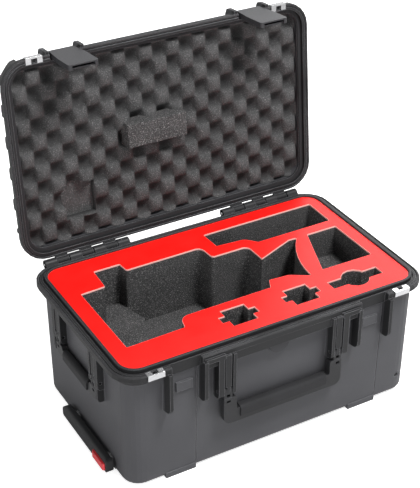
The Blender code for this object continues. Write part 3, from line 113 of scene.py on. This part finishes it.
# Photo
IMAGE_HEIGHT = 488
FOCAL_PIXELS = 1286
CAMERA_AT = Vector((-958.31, -1606.97, 1470.40)) * MM
CAMERA_RIGHT = Vector((0.868473, -0.495728, 0.002883))
CAMERA_DOWN = Vector((-0.260453, -0.461225, -0.848195))
CAMERA_AHEAD = Vector((0.421804, 0.735884, -0.529675))

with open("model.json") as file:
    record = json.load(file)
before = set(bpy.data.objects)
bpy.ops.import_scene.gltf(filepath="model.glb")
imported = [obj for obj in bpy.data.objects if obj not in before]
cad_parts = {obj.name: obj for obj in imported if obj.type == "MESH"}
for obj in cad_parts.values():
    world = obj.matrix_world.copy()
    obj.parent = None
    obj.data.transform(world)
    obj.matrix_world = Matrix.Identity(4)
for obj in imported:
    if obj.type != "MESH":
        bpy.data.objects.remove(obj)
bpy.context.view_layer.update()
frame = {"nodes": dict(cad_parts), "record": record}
scene = bpy.context.scene


def add(tree, kind, inputs=None, **settings):
    """One node, with its settings and its inputs' values or links."""
    made = tree.nodes.new(kind)
    for name, value in settings.items():
        setattr(made, name, value)
    for name, value in (inputs or {}).items():
        if isinstance(value, bpy.types.NodeSocket):
            tree.links.new(value, made.inputs[name])
        else:
            made.inputs[name].default_value = value
    return made


def maths(tree, operation, *values):
    """The output of one Math node."""
    return add(tree, "ShaderNodeMath", dict(enumerate(values)), operation=operation).outputs[0]


def new_group(name, inputs, outputs):
    """An empty shader group with float inputs and the given outputs, and its two end nodes."""
    group = bpy.data.node_groups.new(name, "ShaderNodeTree")
    for label, value in inputs.items():
        socket = group.interface.new_socket(label, in_out="INPUT", socket_type="NodeSocketFloat")
        socket.default_value = value
    for label, kind in outputs.items():
        group.interface.new_socket(label, in_out="OUTPUT", socket_type=kind)
    return group, add(group, "NodeGroupInput").outputs, add(group, "NodeGroupOutput").inputs


def map_range(tree, value, low, high, to_low=0.0, to_high=1.0):
    return add(tree, "ShaderNodeMapRange", {
        "Value": value, "From Min": low, "From Max": high, "To Min": to_low, "To Max": to_high}).outputs[0]


def moulded_surface():
    """Fine moulded grain, slow mottling, softened edges and a painted highlight along them, in patches."""
    group, given, out = new_group(
        "moulded_surface", {"Grain Size": 0.8, "Grain Depth": 0.3, "Edge Radius": 1.0},
        {"Mottle": "NodeSocketFloat", "Edge Highlight": "NodeSocketFloat", "Grain": "NodeSocketFloat",
         "Normal": "NodeSocketVector"})
    place = add(group, "ShaderNodeTexCoord").outputs["Object"]
    scale = maths(group, "DIVIDE", 1000.0, given["Grain Size"])
    fine = add(group, "ShaderNodeTexNoise", {"Vector": place, "Scale": scale, "Detail": 2.0}).outputs[0]
    slow = add(group, "ShaderNodeTexNoise", {
        "Vector": place, "Scale": MOTTLE_SCALE, "Detail": 4.0}).outputs[0]
    radius = maths(group, "MULTIPLY", given["Edge Radius"], MM)
    soft = add(group, "ShaderNodeBevel", {"Radius": radius}, samples=4).outputs[0]
    bump = add(group, "ShaderNodeBump", {
        "Height": fine, "Strength": given["Grain Depth"], "Distance": GRAIN_HEIGHT,
        "Normal": soft}).outputs[0]
    flat = add(group, "ShaderNodeNewGeometry").outputs["True Normal"]
    facing = add(group, "ShaderNodeVectorMath", {0: soft, 1: flat}, operation="DOT_PRODUCT").outputs["Value"]
    bend = map_range(group, facing, *EDGE_BEND)
    patchy = map_range(group, slow, *EDGE_HIGHLIGHT_PATCHES)
    for label, value in (("Mottle", slow), ("Edge Highlight", maths(group, "MULTIPLY", bend, patchy)), ("Grain", fine),
                         ("Normal", bump)):
        group.links.new(value, out[label])
    return group


def foam_cells():
    """Open cells: dark pits, bright cut struts, and a slow change of tone."""
    group, given, out = new_group(
        "foam_cells", {"Cell Size": 1.6, "Cell Depth": 0.6},
        {"Fleck": "NodeSocketFloat", "Pit": "NodeSocketFloat", "Tone": "NodeSocketFloat",
         "Normal": "NodeSocketVector"})
    place = add(group, "ShaderNodeTexCoord").outputs["Object"]
    scale = maths(group, "DIVIDE", 1000.0, given["Cell Size"])
    cells = add(group, "ShaderNodeTexVoronoi", {"Vector": place, "Scale": scale}).outputs["Distance"]
    grit = add(group, "ShaderNodeTexNoise", {"Vector": place, "Scale": scale, "Detail": 3.0,
                                             "Roughness": 0.7}).outputs[0]
    slow = add(group, "ShaderNodeTexNoise", {
        "Vector": place, "Scale": TONE_SCALE, "Detail": 3.0}).outputs[0]
    height = maths(group, "ADD", cells, grit)
    bump = add(group, "ShaderNodeBump", {
        "Height": height, "Strength": given["Cell Depth"], "Distance": CELL_HEIGHT}).outputs[0]
    for label, value in (("Fleck", map_range(group, grit, 0.54, 0.70)),
                         ("Pit", map_range(group, cells, 0.35, 0.08)), ("Tone", slow), ("Normal", bump)):
        group.links.new(value, out[label])
    return group


MOULDED = moulded_surface()
FOAM_CELLS = foam_cells()


def new_material(name, **constants):
    """A Principled material with its constant sockets set, ready for links."""
    material = bpy.data.materials.new(name)
    material.use_nodes = True
    tree = material.node_tree
    shader = tree.nodes["Principled BSDF"]
    for label, value in constants.items():
        shader.inputs[label.replace("_", " ")].default_value = value
    return material, tree, shader


def mixed(tree, factor, first, second):
    """A colour between two, by a factor."""
    node = add(tree, "ShaderNodeMix", data_type="RGBA")
    for place, value in ((0, factor), (6, first), (7, second)):
        if isinstance(value, bpy.types.NodeSocket):
            tree.links.new(value, node.inputs[place])
        else:
            node.inputs[place].default_value = value if place == 0 else (*value, 1)
    return node.outputs[2]


def shade_past_walls(tree):
    """A mask of painted shade on what stands out from the base's walls, and on its rim."""
    split = add(tree, "ShaderNodeSeparateXYZ", {0: add(tree, "ShaderNodeTexCoord").outputs["Object"]}).outputs
    far_x = maths(tree, "SUBTRACT", maths(tree, "ABSOLUTE", split[0]), WALL_HALF_X)
    far_y = maths(tree, "SUBTRACT", maths(tree, "ABSOLUTE", split[1]), WALL_HALF_Y)
    high = maths(tree, "SUBTRACT", split[2], RIM_LOW)
    return map_range(tree, maths(tree, "MAXIMUM", maths(tree, "MAXIMUM", far_x, far_y), high), 0.0, FADE)


def lid_depth(tree):
    """How far a point of the open lid lies behind the hinge's plane, into the lid."""
    place = add(tree, "ShaderNodeTexCoord").outputs["Object"]
    from_axis = add(tree, "ShaderNodeVectorMath", {0: place, 1: LID_AXIS}, operation="SUBTRACT").outputs[0]
    inward = Matrix.Rotation(LID_TURN, 3, "X") @ Vector((0, 0, 1))
    along = add(tree, "ShaderNodeVectorMath", {0: from_axis, 1: inward}, operation="DOT_PRODUCT")
    return along.outputs["Value"]


# Painted shade: the lid goes darker near its parting plane.
def lid_rim_shade(tree):
    return map_range(tree, lid_depth(tree), LID_RIM_DEPTH, LID_RIM_DEPTH - FADE)


def moulded(name, dark, light, edge_highlight, grain=(0.8, 0.3), edge=1.0, rough=(0.5, 0.62), shade_mask=None, **constants):
    """Moulded plastic; a mask, where one is given, marks where painted shade makes it darker, and a painted
    highlight runs along the edges.
    """
    material, tree, shader = new_material(name, **constants)
    surface = add(tree, "ShaderNodeGroup", node_tree=MOULDED)
    for label, value in (("Grain Size", grain[0]), ("Grain Depth", grain[1]), ("Edge Radius", edge)):
        surface.inputs[label].default_value = value
    mottle = map_range(tree, surface.outputs["Mottle"], 0.3, 0.7)
    colour = mixed(tree, mottle, dark, light)
    if shade_mask:
        # Painted shade from the mask, laid over the plastic's own tones.
        colour = mixed(tree, shade_mask(tree), colour, RIM_PAINTED_SHADE)
    # Painted highlight along the softened edges.
    colour = mixed(tree, surface.outputs["Edge Highlight"], colour, edge_highlight)
    tree.links.new(colour, shader.inputs["Base Color"])
    tree.links.new(map_range(tree, surface.outputs["Grain"], 0.3, 0.7, *rough), shader.inputs["Roughness"])
    tree.links.new(surface.outputs["Normal"], shader.inputs["Normal"])
    return material


def foam(name, dark, light, fleck, cell=(1.6, 0.6), fleck_share=0.6, rough=(0.95, 0.8), shaded_valleys=None,
         **constants):
    """Foam; a mask, where one is given, marks valleys that painted shade makes darker."""
    material, tree, shader = new_material(name, **constants)
    cells = add(tree, "ShaderNodeGroup", node_tree=FOAM_CELLS)
    for label, value in (("Cell Size", cell[0]), ("Cell Depth", cell[1])):
        cells.inputs[label].default_value = value
    tone = map_range(tree, cells.outputs["Tone"], 0.3, 0.7)
    colour = mixed(tree, tone, dark, light)
    colour = mixed(tree, maths(tree, "MULTIPLY", cells.outputs["Fleck"], fleck_share), colour, fleck)
    shade = [PIT_SHADE * part for part in dark]
    colour = mixed(tree, maths(tree, "MULTIPLY", cells.outputs["Pit"], PIT_SHARE), colour, shade)
    if shaded_valleys:
        # Painted shade in the valleys between the bumps.
        colour = mixed(tree, shaded_valleys(tree), colour, [HOLLOW_SHADE * part for part in dark])
    tree.links.new(colour, shader.inputs["Base Color"])
    tree.links.new(map_range(tree, cells.outputs["Fleck"], 0.0, 1.0, *rough), shader.inputs["Roughness"])
    tree.links.new(cells.outputs["Normal"], shader.inputs["Normal"])
    return material


def steel(name, dark, light):
    """Drawn metal, with fine lines along X."""
    material, tree, shader = new_material(name, Metallic=1.0)
    place = add(tree, "ShaderNodeTexCoord").outputs["Object"]
    stretched = add(tree, "ShaderNodeMapping", {"Vector": place, "Scale": (60.0, 2500.0, 2500.0)}).outputs[0]
    lines = add(tree, "ShaderNodeTexNoise", {"Vector": stretched, "Scale": 1.0, "Detail": 3.0}).outputs[0]
    surface = add(tree, "ShaderNodeGroup", node_tree=MOULDED)
    surface.inputs["Grain Depth"].default_value = 0.05
    surface.inputs["Edge Radius"].default_value = 0.4
    tree.links.new(mixed(tree, lines, dark, light), shader.inputs["Base Color"])
    tree.links.new(map_range(tree, lines, 0.3, 0.7, 0.16, 0.34), shader.inputs["Roughness"])
    tree.links.new(surface.outputs["Normal"], shader.inputs["Normal"])
    return material


def crate_valley_shade(tree):
    """A mask of painted shade in the hollows between the bumps, without the cut pocket's floor."""
    depth = lid_depth(tree)
    low = CRATE_PEAK + 0.6 * CRATE_RELIEF - LID_AXIS.z
    floor = POCKET_FLOOR - LID_AXIS.z
    shaded_valleys = map_range(tree, depth, low, low + 0.6 * CRATE_RELIEF)
    return maths(tree, "MULTIPLY", shaded_valleys, map_range(tree, depth, floor - FADE, floor - 2 * FADE))


# Painted shade: the colour that the rim and what stands out from the base's walls are darkened to.
RIM_PAINTED_SHADE = (0.014, 0.014, 0.015)
# The third tone of each moulded finish is the colour of its painted edge highlight.
WALL_TONES = ((0.053, 0.053, 0.058), (0.062, 0.062, 0.067), (0.17, 0.17, 0.18))
BASE_SHELL = moulded("moulded_base", *WALL_TONES, edge=1.8, shade_mask=shade_past_walls, Specular_IOR_Level=0.2)
LID_SHELL = moulded("moulded_lid", *WALL_TONES, edge=1.8, shade_mask=lid_rim_shade, Specular_IOR_Level=0.2)
SHELL = moulded("moulded_fittings", (0.016, 0.016, 0.017), (0.023, 0.023, 0.025), (0.06, 0.06, 0.065),
                edge=1.5, rough=(0.38, 0.52), Specular_IOR_Level=0.2)
LATCH = moulded("latch_plastic", (0.027, 0.027, 0.030), (0.035, 0.035, 0.038), (0.10, 0.10, 0.11),
                rough=(0.38, 0.5), Specular_IOR_Level=0.2)
RUBBER = moulded("grip_rubber", (0.016, 0.016, 0.017), (0.024, 0.024, 0.026), (0.045, 0.045, 0.048),
                 grain=(1.4, 0.5), rough=(0.65, 0.85), Specular_IOR_Level=0.2)
TYRE = moulded("tyre_rubber", (0.024, 0.024, 0.025), (0.036, 0.036, 0.037), (0.06, 0.06, 0.06),
               grain=(1.2, 0.4), rough=(0.7, 0.9))
BUTTON = moulded("button_plastic", (0.60, 0.025, 0.035), (0.68, 0.035, 0.045), (0.78, 0.12, 0.12),
                 grain=(0.7, 0.1), rough=(0.25, 0.4))
STEEL = steel("bright_steel", (0.36, 0.36, 0.37), (0.62, 0.62, 0.63))
DARK_STEEL = steel("blackened_steel", (0.030, 0.030, 0.031), (0.055, 0.055, 0.057))
CHARCOAL = foam("charcoal_foam", (0.052, 0.052, 0.053), (0.074, 0.073, 0.074), (0.27, 0.268, 0.265),
                cell=(1.6, 0.8), fleck_share=0.8, shaded_valleys=crate_valley_shade, Specular_IOR_Level=0.1)
CUT_CHARCOAL = foam("cut_charcoal_foam", (0.046, 0.046, 0.047), (0.068, 0.067, 0.068), (0.32, 0.315, 0.31),
                    cell=(1.9, 1.0), fleck_share=1.0, Specular_IOR_Level=0.1)
RED = foam("red_foam", (0.92, 0.006, 0.004), (0.97, 0.011, 0.008), (1.0, 0.04, 0.03),
           cell=(0.9, 0.08), fleck_share=0.3, rough=(0.5, 0.42), Specular_IOR_Level=0.22)
# Painted highlight: pale pink on the red sheet's cut sides and rounded upper edges.
CUT_EDGE_HIGHLIGHT = foam("cut_red_edge_highlight", (0.86, 0.44, 0.40), (0.95, 0.52, 0.47), (1.0, 0.70, 0.65),
                cell=(0.9, 0.2), fleck_share=0.5)

FINISHES = {"shell_plastic": SHELL, "latch_plastic": LATCH, "grip_rubber": RUBBER, "tyre": TYRE,
            "red_button": BUTTON, "steel": STEEL, "charcoal_foam": CHARCOAL, "red_foam": RED}
DARK_PINS = ["front_wheel_axle", "rear_wheel_axle"]
DARK_PINS += [f"{side}_handle_pin_{end}" for side in ("front", "left", "right") for end in "ab"]
OWN_FINISHES = {"base_shell": BASE_SHELL, "lid_shell": LID_SHELL, **dict.fromkeys(DARK_PINS, DARK_STEEL)}


def dress_nodes():
    for row in frame["record"]["subparts"]:
        data = frame["nodes"][row["node"]].data
        data.materials.clear()
        data.materials.append(OWN_FINISHES.get(row["node"], FINISHES[row["material_slot"]]))


def finished(name, mesh, body, replaced=(), smooth=None):
    """A piece from a mesh that is already in place: shading, then its place in the model."""
    obj = bpy.data.objects.new(name, mesh)
    mesh.name = name
    scene.collection.objects.link(obj)
    if smooth is not None:
        mesh.shade_smooth()
        mesh.set_sharp_from_angle(angle=math.radians(smooth))
    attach(obj, body)
    if replaced:
        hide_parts(*replaced)
    return obj


def applied(mesh, modifiers):
    """The mesh that a stack of modifiers makes of a mesh."""
    holder = bpy.data.objects.new("holder", mesh)
    scene.collection.objects.link(holder)
    for kind, settings in modifiers:
        modifier = holder.modifiers.new(kind.lower(), kind)
        for name, value in settings.items():
            setattr(modifier, name, value)
    result = evaluated(holder)
    bpy.data.objects.remove(holder)
    return result


def evaluated(holder):
    depsgraph = bpy.context.evaluated_depsgraph_get()
    return bpy.data.meshes.new_from_object(holder.evaluated_get(depsgraph))


def merged_copy(node):
    """A node's mesh with its loose triangles joined and its flat faces whole."""
    bm = bmesh.new()
    bm.from_mesh(frame["nodes"][node].data)
    bmesh.ops.remove_doubles(bm, verts=bm.verts, dist=0.01 * MM)
    bmesh.ops.dissolve_limit(bm, angle_limit=math.radians(0.5), verts=bm.verts, edges=bm.edges)
    mesh = bpy.data.meshes.new(node)
    bm.to_mesh(mesh)
    bm.free()
    return mesh


def roughened(mesh, amount, size):
    """Points pushed in along their normals by a fine noise, so cut foam stays inside its own space."""
    for vert, normal in zip(mesh.vertices, [v.vector.copy() for v in mesh.vertex_normals]):
        lift = noise.fractal(vert.co / size, 1.0, 2.0, 3)
        vert.co -= normal * amount * (0.5 + 0.5 * max(-1.0, min(1.0, lift)))
    return mesh


def crate_tree():
    """Egg-crate foam: a rounded grid raised in staggered bumps, with a cut pocket and a flat back."""
    tree = bpy.data.node_groups.new("egg_crate", "GeometryNodeTree")
    tree.is_modifier = True
    tree.interface.new_socket("Geometry", in_out="INPUT", socket_type="NodeSocketGeometry")
    sizes = {"Half X": FOAM_HALF_X, "Half Y": FOAM_HALF_Y, "Corner": FOAM_CORNER, "Pitch": CRATE_PITCH,
             "Row": CRATE_ROW, "Relief": CRATE_RELIEF, "Peak": CRATE_PEAK, "Back": CRATE_BACK,
             "Squareness": CRATE_SQUARENESS, "Pocket Floor": POCKET_FLOOR}
    for label, value in sizes.items():
        socket = tree.interface.new_socket(label, in_out="INPUT", socket_type="NodeSocketFloat")
        socket.default_value = value
    tree.interface.new_socket("Geometry", in_out="OUTPUT", socket_type="NodeSocketGeometry")
    given = add(tree, "NodeGroupInput").outputs
    grid = add(tree, "GeometryNodeMeshGrid", {
        "Size X": maths(tree, "MULTIPLY", given["Half X"], 2.0),
        "Size Y": maths(tree, "MULTIPLY", given["Half Y"], 2.0),
        "Vertices X": CRATE_CELLS[0], "Vertices Y": CRATE_CELLS[1]}).outputs["Mesh"]
    place = add(tree, "GeometryNodeInputPosition").outputs[0]
    split = add(tree, "ShaderNodeSeparateXYZ", {0: place}).outputs
    straight = maths(tree, "SUBTRACT", given["Half Y"], given["Corner"])
    over = maths(tree, "MAXIMUM", maths(tree, "SUBTRACT", maths(tree, "ABSOLUTE", split[1]), straight), 0.0)
    lost = maths(tree, "SUBTRACT", given["Corner"], maths(tree, "SQRT", maths(tree, "MAXIMUM", maths(
        tree, "SUBTRACT", maths(tree, "POWER", given["Corner"], 2.0), maths(tree, "POWER", over, 2.0)), 0.0)))
    narrow = maths(tree, "DIVIDE", maths(tree, "SUBTRACT", given["Half X"], lost), given["Half X"])
    rounded = add(tree, "ShaderNodeCombineXYZ", {
        0: maths(tree, "MULTIPLY", split[0], narrow), 1: split[1], 2: split[2]}).outputs[0]
    grid = add(tree, "GeometryNodeSetPosition", {"Geometry": grid, "Position": rounded}).outputs[0]
    split = add(tree, "ShaderNodeSeparateXYZ", {0: add(tree, "GeometryNodeInputPosition").outputs[0]}).outputs
    turns_x = maths(tree, "DIVIDE", maths(tree, "MULTIPLY", split[0], math.tau), given["Pitch"])
    turns_y = maths(tree, "DIVIDE", maths(tree, "MULTIPLY", split[1], math.pi), given["Row"])
    wave = maths(tree, "MULTIPLY", maths(tree, "COSINE", turns_x), maths(tree, "COSINE", turns_y))
    square = maths(tree, "MULTIPLY", maths(tree, "SIGN", wave),
                   maths(tree, "POWER", maths(tree, "ABSOLUTE", wave), given["Squareness"]))
    uneven = add(tree, "ShaderNodeTexNoise", {"Scale": CRATE_UNEVEN_SCALE, "Detail": 2.0}).outputs[0]
    torn = add(tree, "ShaderNodeTexNoise", {"Scale": CRATE_TORN_SCALE, "Detail": 2.0}).outputs[0]
    half = maths(tree, "MULTIPLY", given["Relief"], 0.5)
    drop = maths(tree, "MULTIPLY", maths(tree, "SUBTRACT", 1.0, square), half)
    drop = maths(tree, "ADD", drop, maths(tree, "MULTIPLY", uneven, CRATE_UNEVEN_DEPTH))
    drop = maths(tree, "ADD", drop, maths(tree, "MULTIPLY", torn, CRATE_TORN_DEPTH))
    height = maths(tree, "ADD", given["Peak"], drop)
    inside = []
    for axis in (0, 1):
        off = maths(tree, "ABSOLUTE", maths(tree, "SUBTRACT", split[axis], POCKET_MIDDLE[axis]))
        inside.append(maths(tree, "LESS_THAN", off, POCKET_HALF[axis]))
    pocket = maths(tree, "MULTIPLY", inside[0], inside[1])
    deep = maths(tree, "MAXIMUM", height, given["Pocket Floor"])
    sunk = maths(tree, "MULTIPLY", pocket, maths(tree, "SUBTRACT", deep, height))
    height = maths(tree, "ADD", height, sunk)
    raised = add(tree, "ShaderNodeCombineXYZ", {0: split[0], 1: split[1], 2: height}).outputs[0]
    front = add(tree, "GeometryNodeSetPosition", {"Geometry": grid, "Position": raised}).outputs[0]
    slab = add(tree, "GeometryNodeExtrudeMesh", {"Mesh": front, "Offset Scale": 0.01, "Individual": False})
    split = add(tree, "ShaderNodeSeparateXYZ", {0: add(tree, "GeometryNodeInputPosition").outputs[0]}).outputs
    level = add(tree, "ShaderNodeCombineXYZ", {0: split[0], 1: split[1], 2: given["Back"]}).outputs[0]
    back = add(tree, "GeometryNodeSetPosition", {
        "Geometry": slab.outputs["Mesh"], "Selection": slab.outputs["Top"], "Position": level}).outputs[0]
    face = add(tree, "GeometryNodeFlipFaces", {"Mesh": front}).outputs[0]
    both = add(tree, "GeometryNodeJoinGeometry")
    for part in (back, face):
        tree.links.new(part, both.inputs[0])
    welded = add(tree, "GeometryNodeMergeByDistance", {
        "Geometry": both.outputs[0], "Distance": 0.001 * MM}).outputs[0]
    real = add(tree, "GeometryNodeRealizeInstances", {"Geometry": welded}).outputs[0]
    coated = add(tree, "GeometryNodeSetMaterial", {"Geometry": real, "Material": CHARCOAL}).outputs[0]
    tree.links.new(coated, add(tree, "NodeGroupOutput").inputs[0])
    return tree


def opened(mesh):
    """Swings a mesh that was made in the shut lid out to the open lid."""
    swing = Matrix.Rotation(LID_TURN, 4, "X")
    mesh.transform(Matrix.Translation(LID_AXIS) @ swing @ Matrix.Translation(-LID_AXIS))
    return mesh


def make_lid_foam():
    holder = bpy.data.objects.new("crate_holder", bpy.data.meshes.new("crate_holder"))
    scene.collection.objects.link(holder)
    holder.modifiers.new("egg_crate", "NODES").node_group = crate_tree()
    mesh = evaluated(holder)
    bpy.data.objects.remove(holder)
    finished("egg_crate_foam", opened(mesh), "lid", ["lid_foam"], smooth=50)


def make_press_block():
    mesh = merged_copy("lid_press_block")
    mesh = applied(mesh, [("BEVEL", {"width": BLOCK_EDGE, "segments": 2}),
                          ("REMESH", {"voxel_size": BLOCK_VOXEL})])
    roughened(mesh, BLOCK_TORN_DEPTH, BLOCK_TORN_SIZE)
    mesh.materials.clear()
    mesh.materials.append(CUT_CHARCOAL)
    finished("press_block_foam", mesh, "lid", ["lid_press_block"], smooth=60)


def mark_edge_highlight(mesh):
    """Gives the sheet's cut sides the pale painted highlight, and marks its upper edges for rounding."""
    bm = bmesh.new()
    bm.from_mesh(mesh)
    top = max(vert.co.z for vert in bm.verts)
    weight = bm.edges.layers.float.new("bevel_weight_edge")
    for face in bm.faces:
        face.material_index = int(abs(face.normal.z) < 0.5)
    for edge in bm.edges:
        upper = all(top - vert.co.z < FADE for vert in edge.verts)
        edge[weight] = float(upper and len({face.material_index for face in edge.link_faces}) == 2)
    bm.to_mesh(mesh)
    bm.free()


def make_base_foam():
    bed = bpy.data.objects.new("bed_holder", merged_copy("foam_bed"))
    bed.location.z = LAYER_LIFT
    scene.collection.objects.link(bed)
    joined = ("BOOLEAN", {"operation": "UNION", "object": bed, "solver": "EXACT"})
    mesh = applied(merged_copy("foam_tray"), [joined])
    bpy.data.objects.remove(bed)
    mesh.materials.clear()
    mesh.materials.append(CUT_CHARCOAL)
    finished("cut_foam", mesh, "base", ["foam_tray", "foam_bed"])
    mesh = merged_copy("red_foam_top")
    mesh.materials.clear()
    mesh.materials.append(RED)
    mesh.materials.append(CUT_EDGE_HIGHLIGHT)
    mark_edge_highlight(mesh)
    mesh = applied(mesh, [("BEVEL", {"width": CUT_EDGE_HIGHLIGHT_WIDTH, "segments": 2, "material": 1,
                                     "limit_method": "WEIGHT"})])
    finished("red_sheet", mesh, "base", ["red_foam_top"])


def block(name, low, high, material):
    """A moulded block between two corners given in millimetres, with softened edges."""
    bm = bmesh.new()
    bmesh.ops.create_cube(bm, size=1)
    low, high = Vector(low) * MM, Vector(high) * MM
    bm.transform(Matrix.Translation((low + high) / 2) @ Matrix.Diagonal((*(high - low), 1)))
    bmesh.ops.bevel(bm, geom=bm.edges[:], offset=SKID_EDGE, segments=2, affect="EDGES", profile=0.5)
    mesh = bpy.data.meshes.new(name)
    bm.to_mesh(mesh)
    bm.free()
    mesh.materials.append(material)
    return mesh


def make_knuckles():
    """The base's four knuckles of each hinge, full enough to close the gap to the open lid."""
    for side, sign in (("left", -1), ("right", 1)):
        bm = bmesh.new()
        for index in range(0, HINGE_KNUCKLES, 2):
            middle = Vector((sign * (HINGE_INNER + (index + 0.5) * KNUCKLE_PITCH), 0, 0))
            place = Matrix.Translation(LID_AXIS + middle) @ Matrix.Rotation(math.pi / 2, 4, "Y")
            bmesh.ops.create_cone(bm, cap_ends=True, segments=32, radius1=KNUCKLE_RADIUS,
                                  radius2=KNUCKLE_RADIUS, depth=KNUCKLE_PITCH - KNUCKLE_GAP, matrix=place)
        mesh = bpy.data.meshes.new(side + "_knuckles")
        bm.to_mesh(mesh)
        bm.free()
        mesh.materials.append(SHELL)
        finished(side + "_knuckles", mesh, "base", smooth=40)


def make_skids():
    for side, corners in zip(("left", "right"), SKIDS):
        name = side + "_front_skid"
        finished(name, block(name, *corners, BASE_SHELL), "base", smooth=40)


def make_camera():
    camera = bpy.data.cameras.new("photo_view")
    camera.sensor_width = 36
    camera.lens = FOCAL_PIXELS / IMAGE_HEIGHT * camera.sensor_width
    obj = bpy.data.objects.new("photo_view", camera)
    turn = Matrix((CAMERA_RIGHT, -CAMERA_DOWN, -CAMERA_AHEAD)).transposed()
    obj.matrix_world = Matrix.Translation(CAMERA_AT) @ turn.to_4x4()
    scene.collection.objects.link(obj)
    scene.camera = obj


def make_light(name, at, aim, size, watts):
    lamp = bpy.data.lights.new(name, "AREA")
    lamp.shape = "DISK"
    lamp.size = size
    lamp.energy = watts
    obj = bpy.data.objects.new(name, lamp)
    obj.location = at
    obj.rotation_mode = "QUATERNION"
    obj.rotation_quaternion = (Vector(aim) - Vector(at)).to_track_quat("-Z", "Y")
    scene.collection.objects.link(obj)


def make_stage():
    world = bpy.data.worlds.new("studio")
    scene.world = world
    world.use_nodes = True
    tree = world.node_tree
    path = add(tree, "ShaderNodeLightPath").outputs
    seen = maths(tree, "MAXIMUM", maths(tree, "MAXIMUM", path["Is Camera Ray"], path["Is Glossy Ray"]),
                 path["Is Transmission Ray"])
    level = map_range(tree, seen, 0.0, 1.0, WORLD_LEVEL, 1.0)
    sky = tree.nodes["Background"]
    sky.inputs["Color"].default_value = (1, 1, 1, 1)
    tree.links.new(level, sky.inputs["Strength"])
    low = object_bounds()[0].z
    bm = bmesh.new()
    bmesh.ops.create_circle(bm, cap_ends=True, segments=64, radius=FLOOR_RADIUS,
                            matrix=Matrix.Translation((0, 0, low)))
    mesh = bpy.data.meshes.new("floor")
    bm.to_mesh(mesh)
    bm.free()
    material, tree, shader = new_material("pale_floor", Roughness=0.9)
    place = add(tree, "ShaderNodeTexCoord").outputs["Object"]
    cloud = add(tree, "ShaderNodeTexNoise", {"Vector": place, "Scale": 3.0}).outputs[0]
    tree.links.new(mixed(tree, cloud, (0.88, 0.88, 0.88), (0.92, 0.92, 0.92)), shader.inputs["Base Color"])
    shader.inputs["Emission Color"].default_value = (1, 1, 1, 1)
    glow = maths(tree, "MULTIPLY", add(tree, "ShaderNodeLightPath").outputs["Is Camera Ray"], FLOOR_GLOW)
    tree.links.new(glow, shader.inputs["Emission Strength"])
    mesh.materials.append(material)
    floor = bpy.data.objects.new("floor", mesh)
    scene.collection.objects.link(floor)
    for name, lamp in LAMPS.items():
        make_light(name, *lamp)
    scene.view_settings.view_transform = "Standard"


dress_nodes()
make_lid_foam()
make_press_block()
make_base_foam()
make_knuckles()
make_skids()
make_camera()
make_stage()
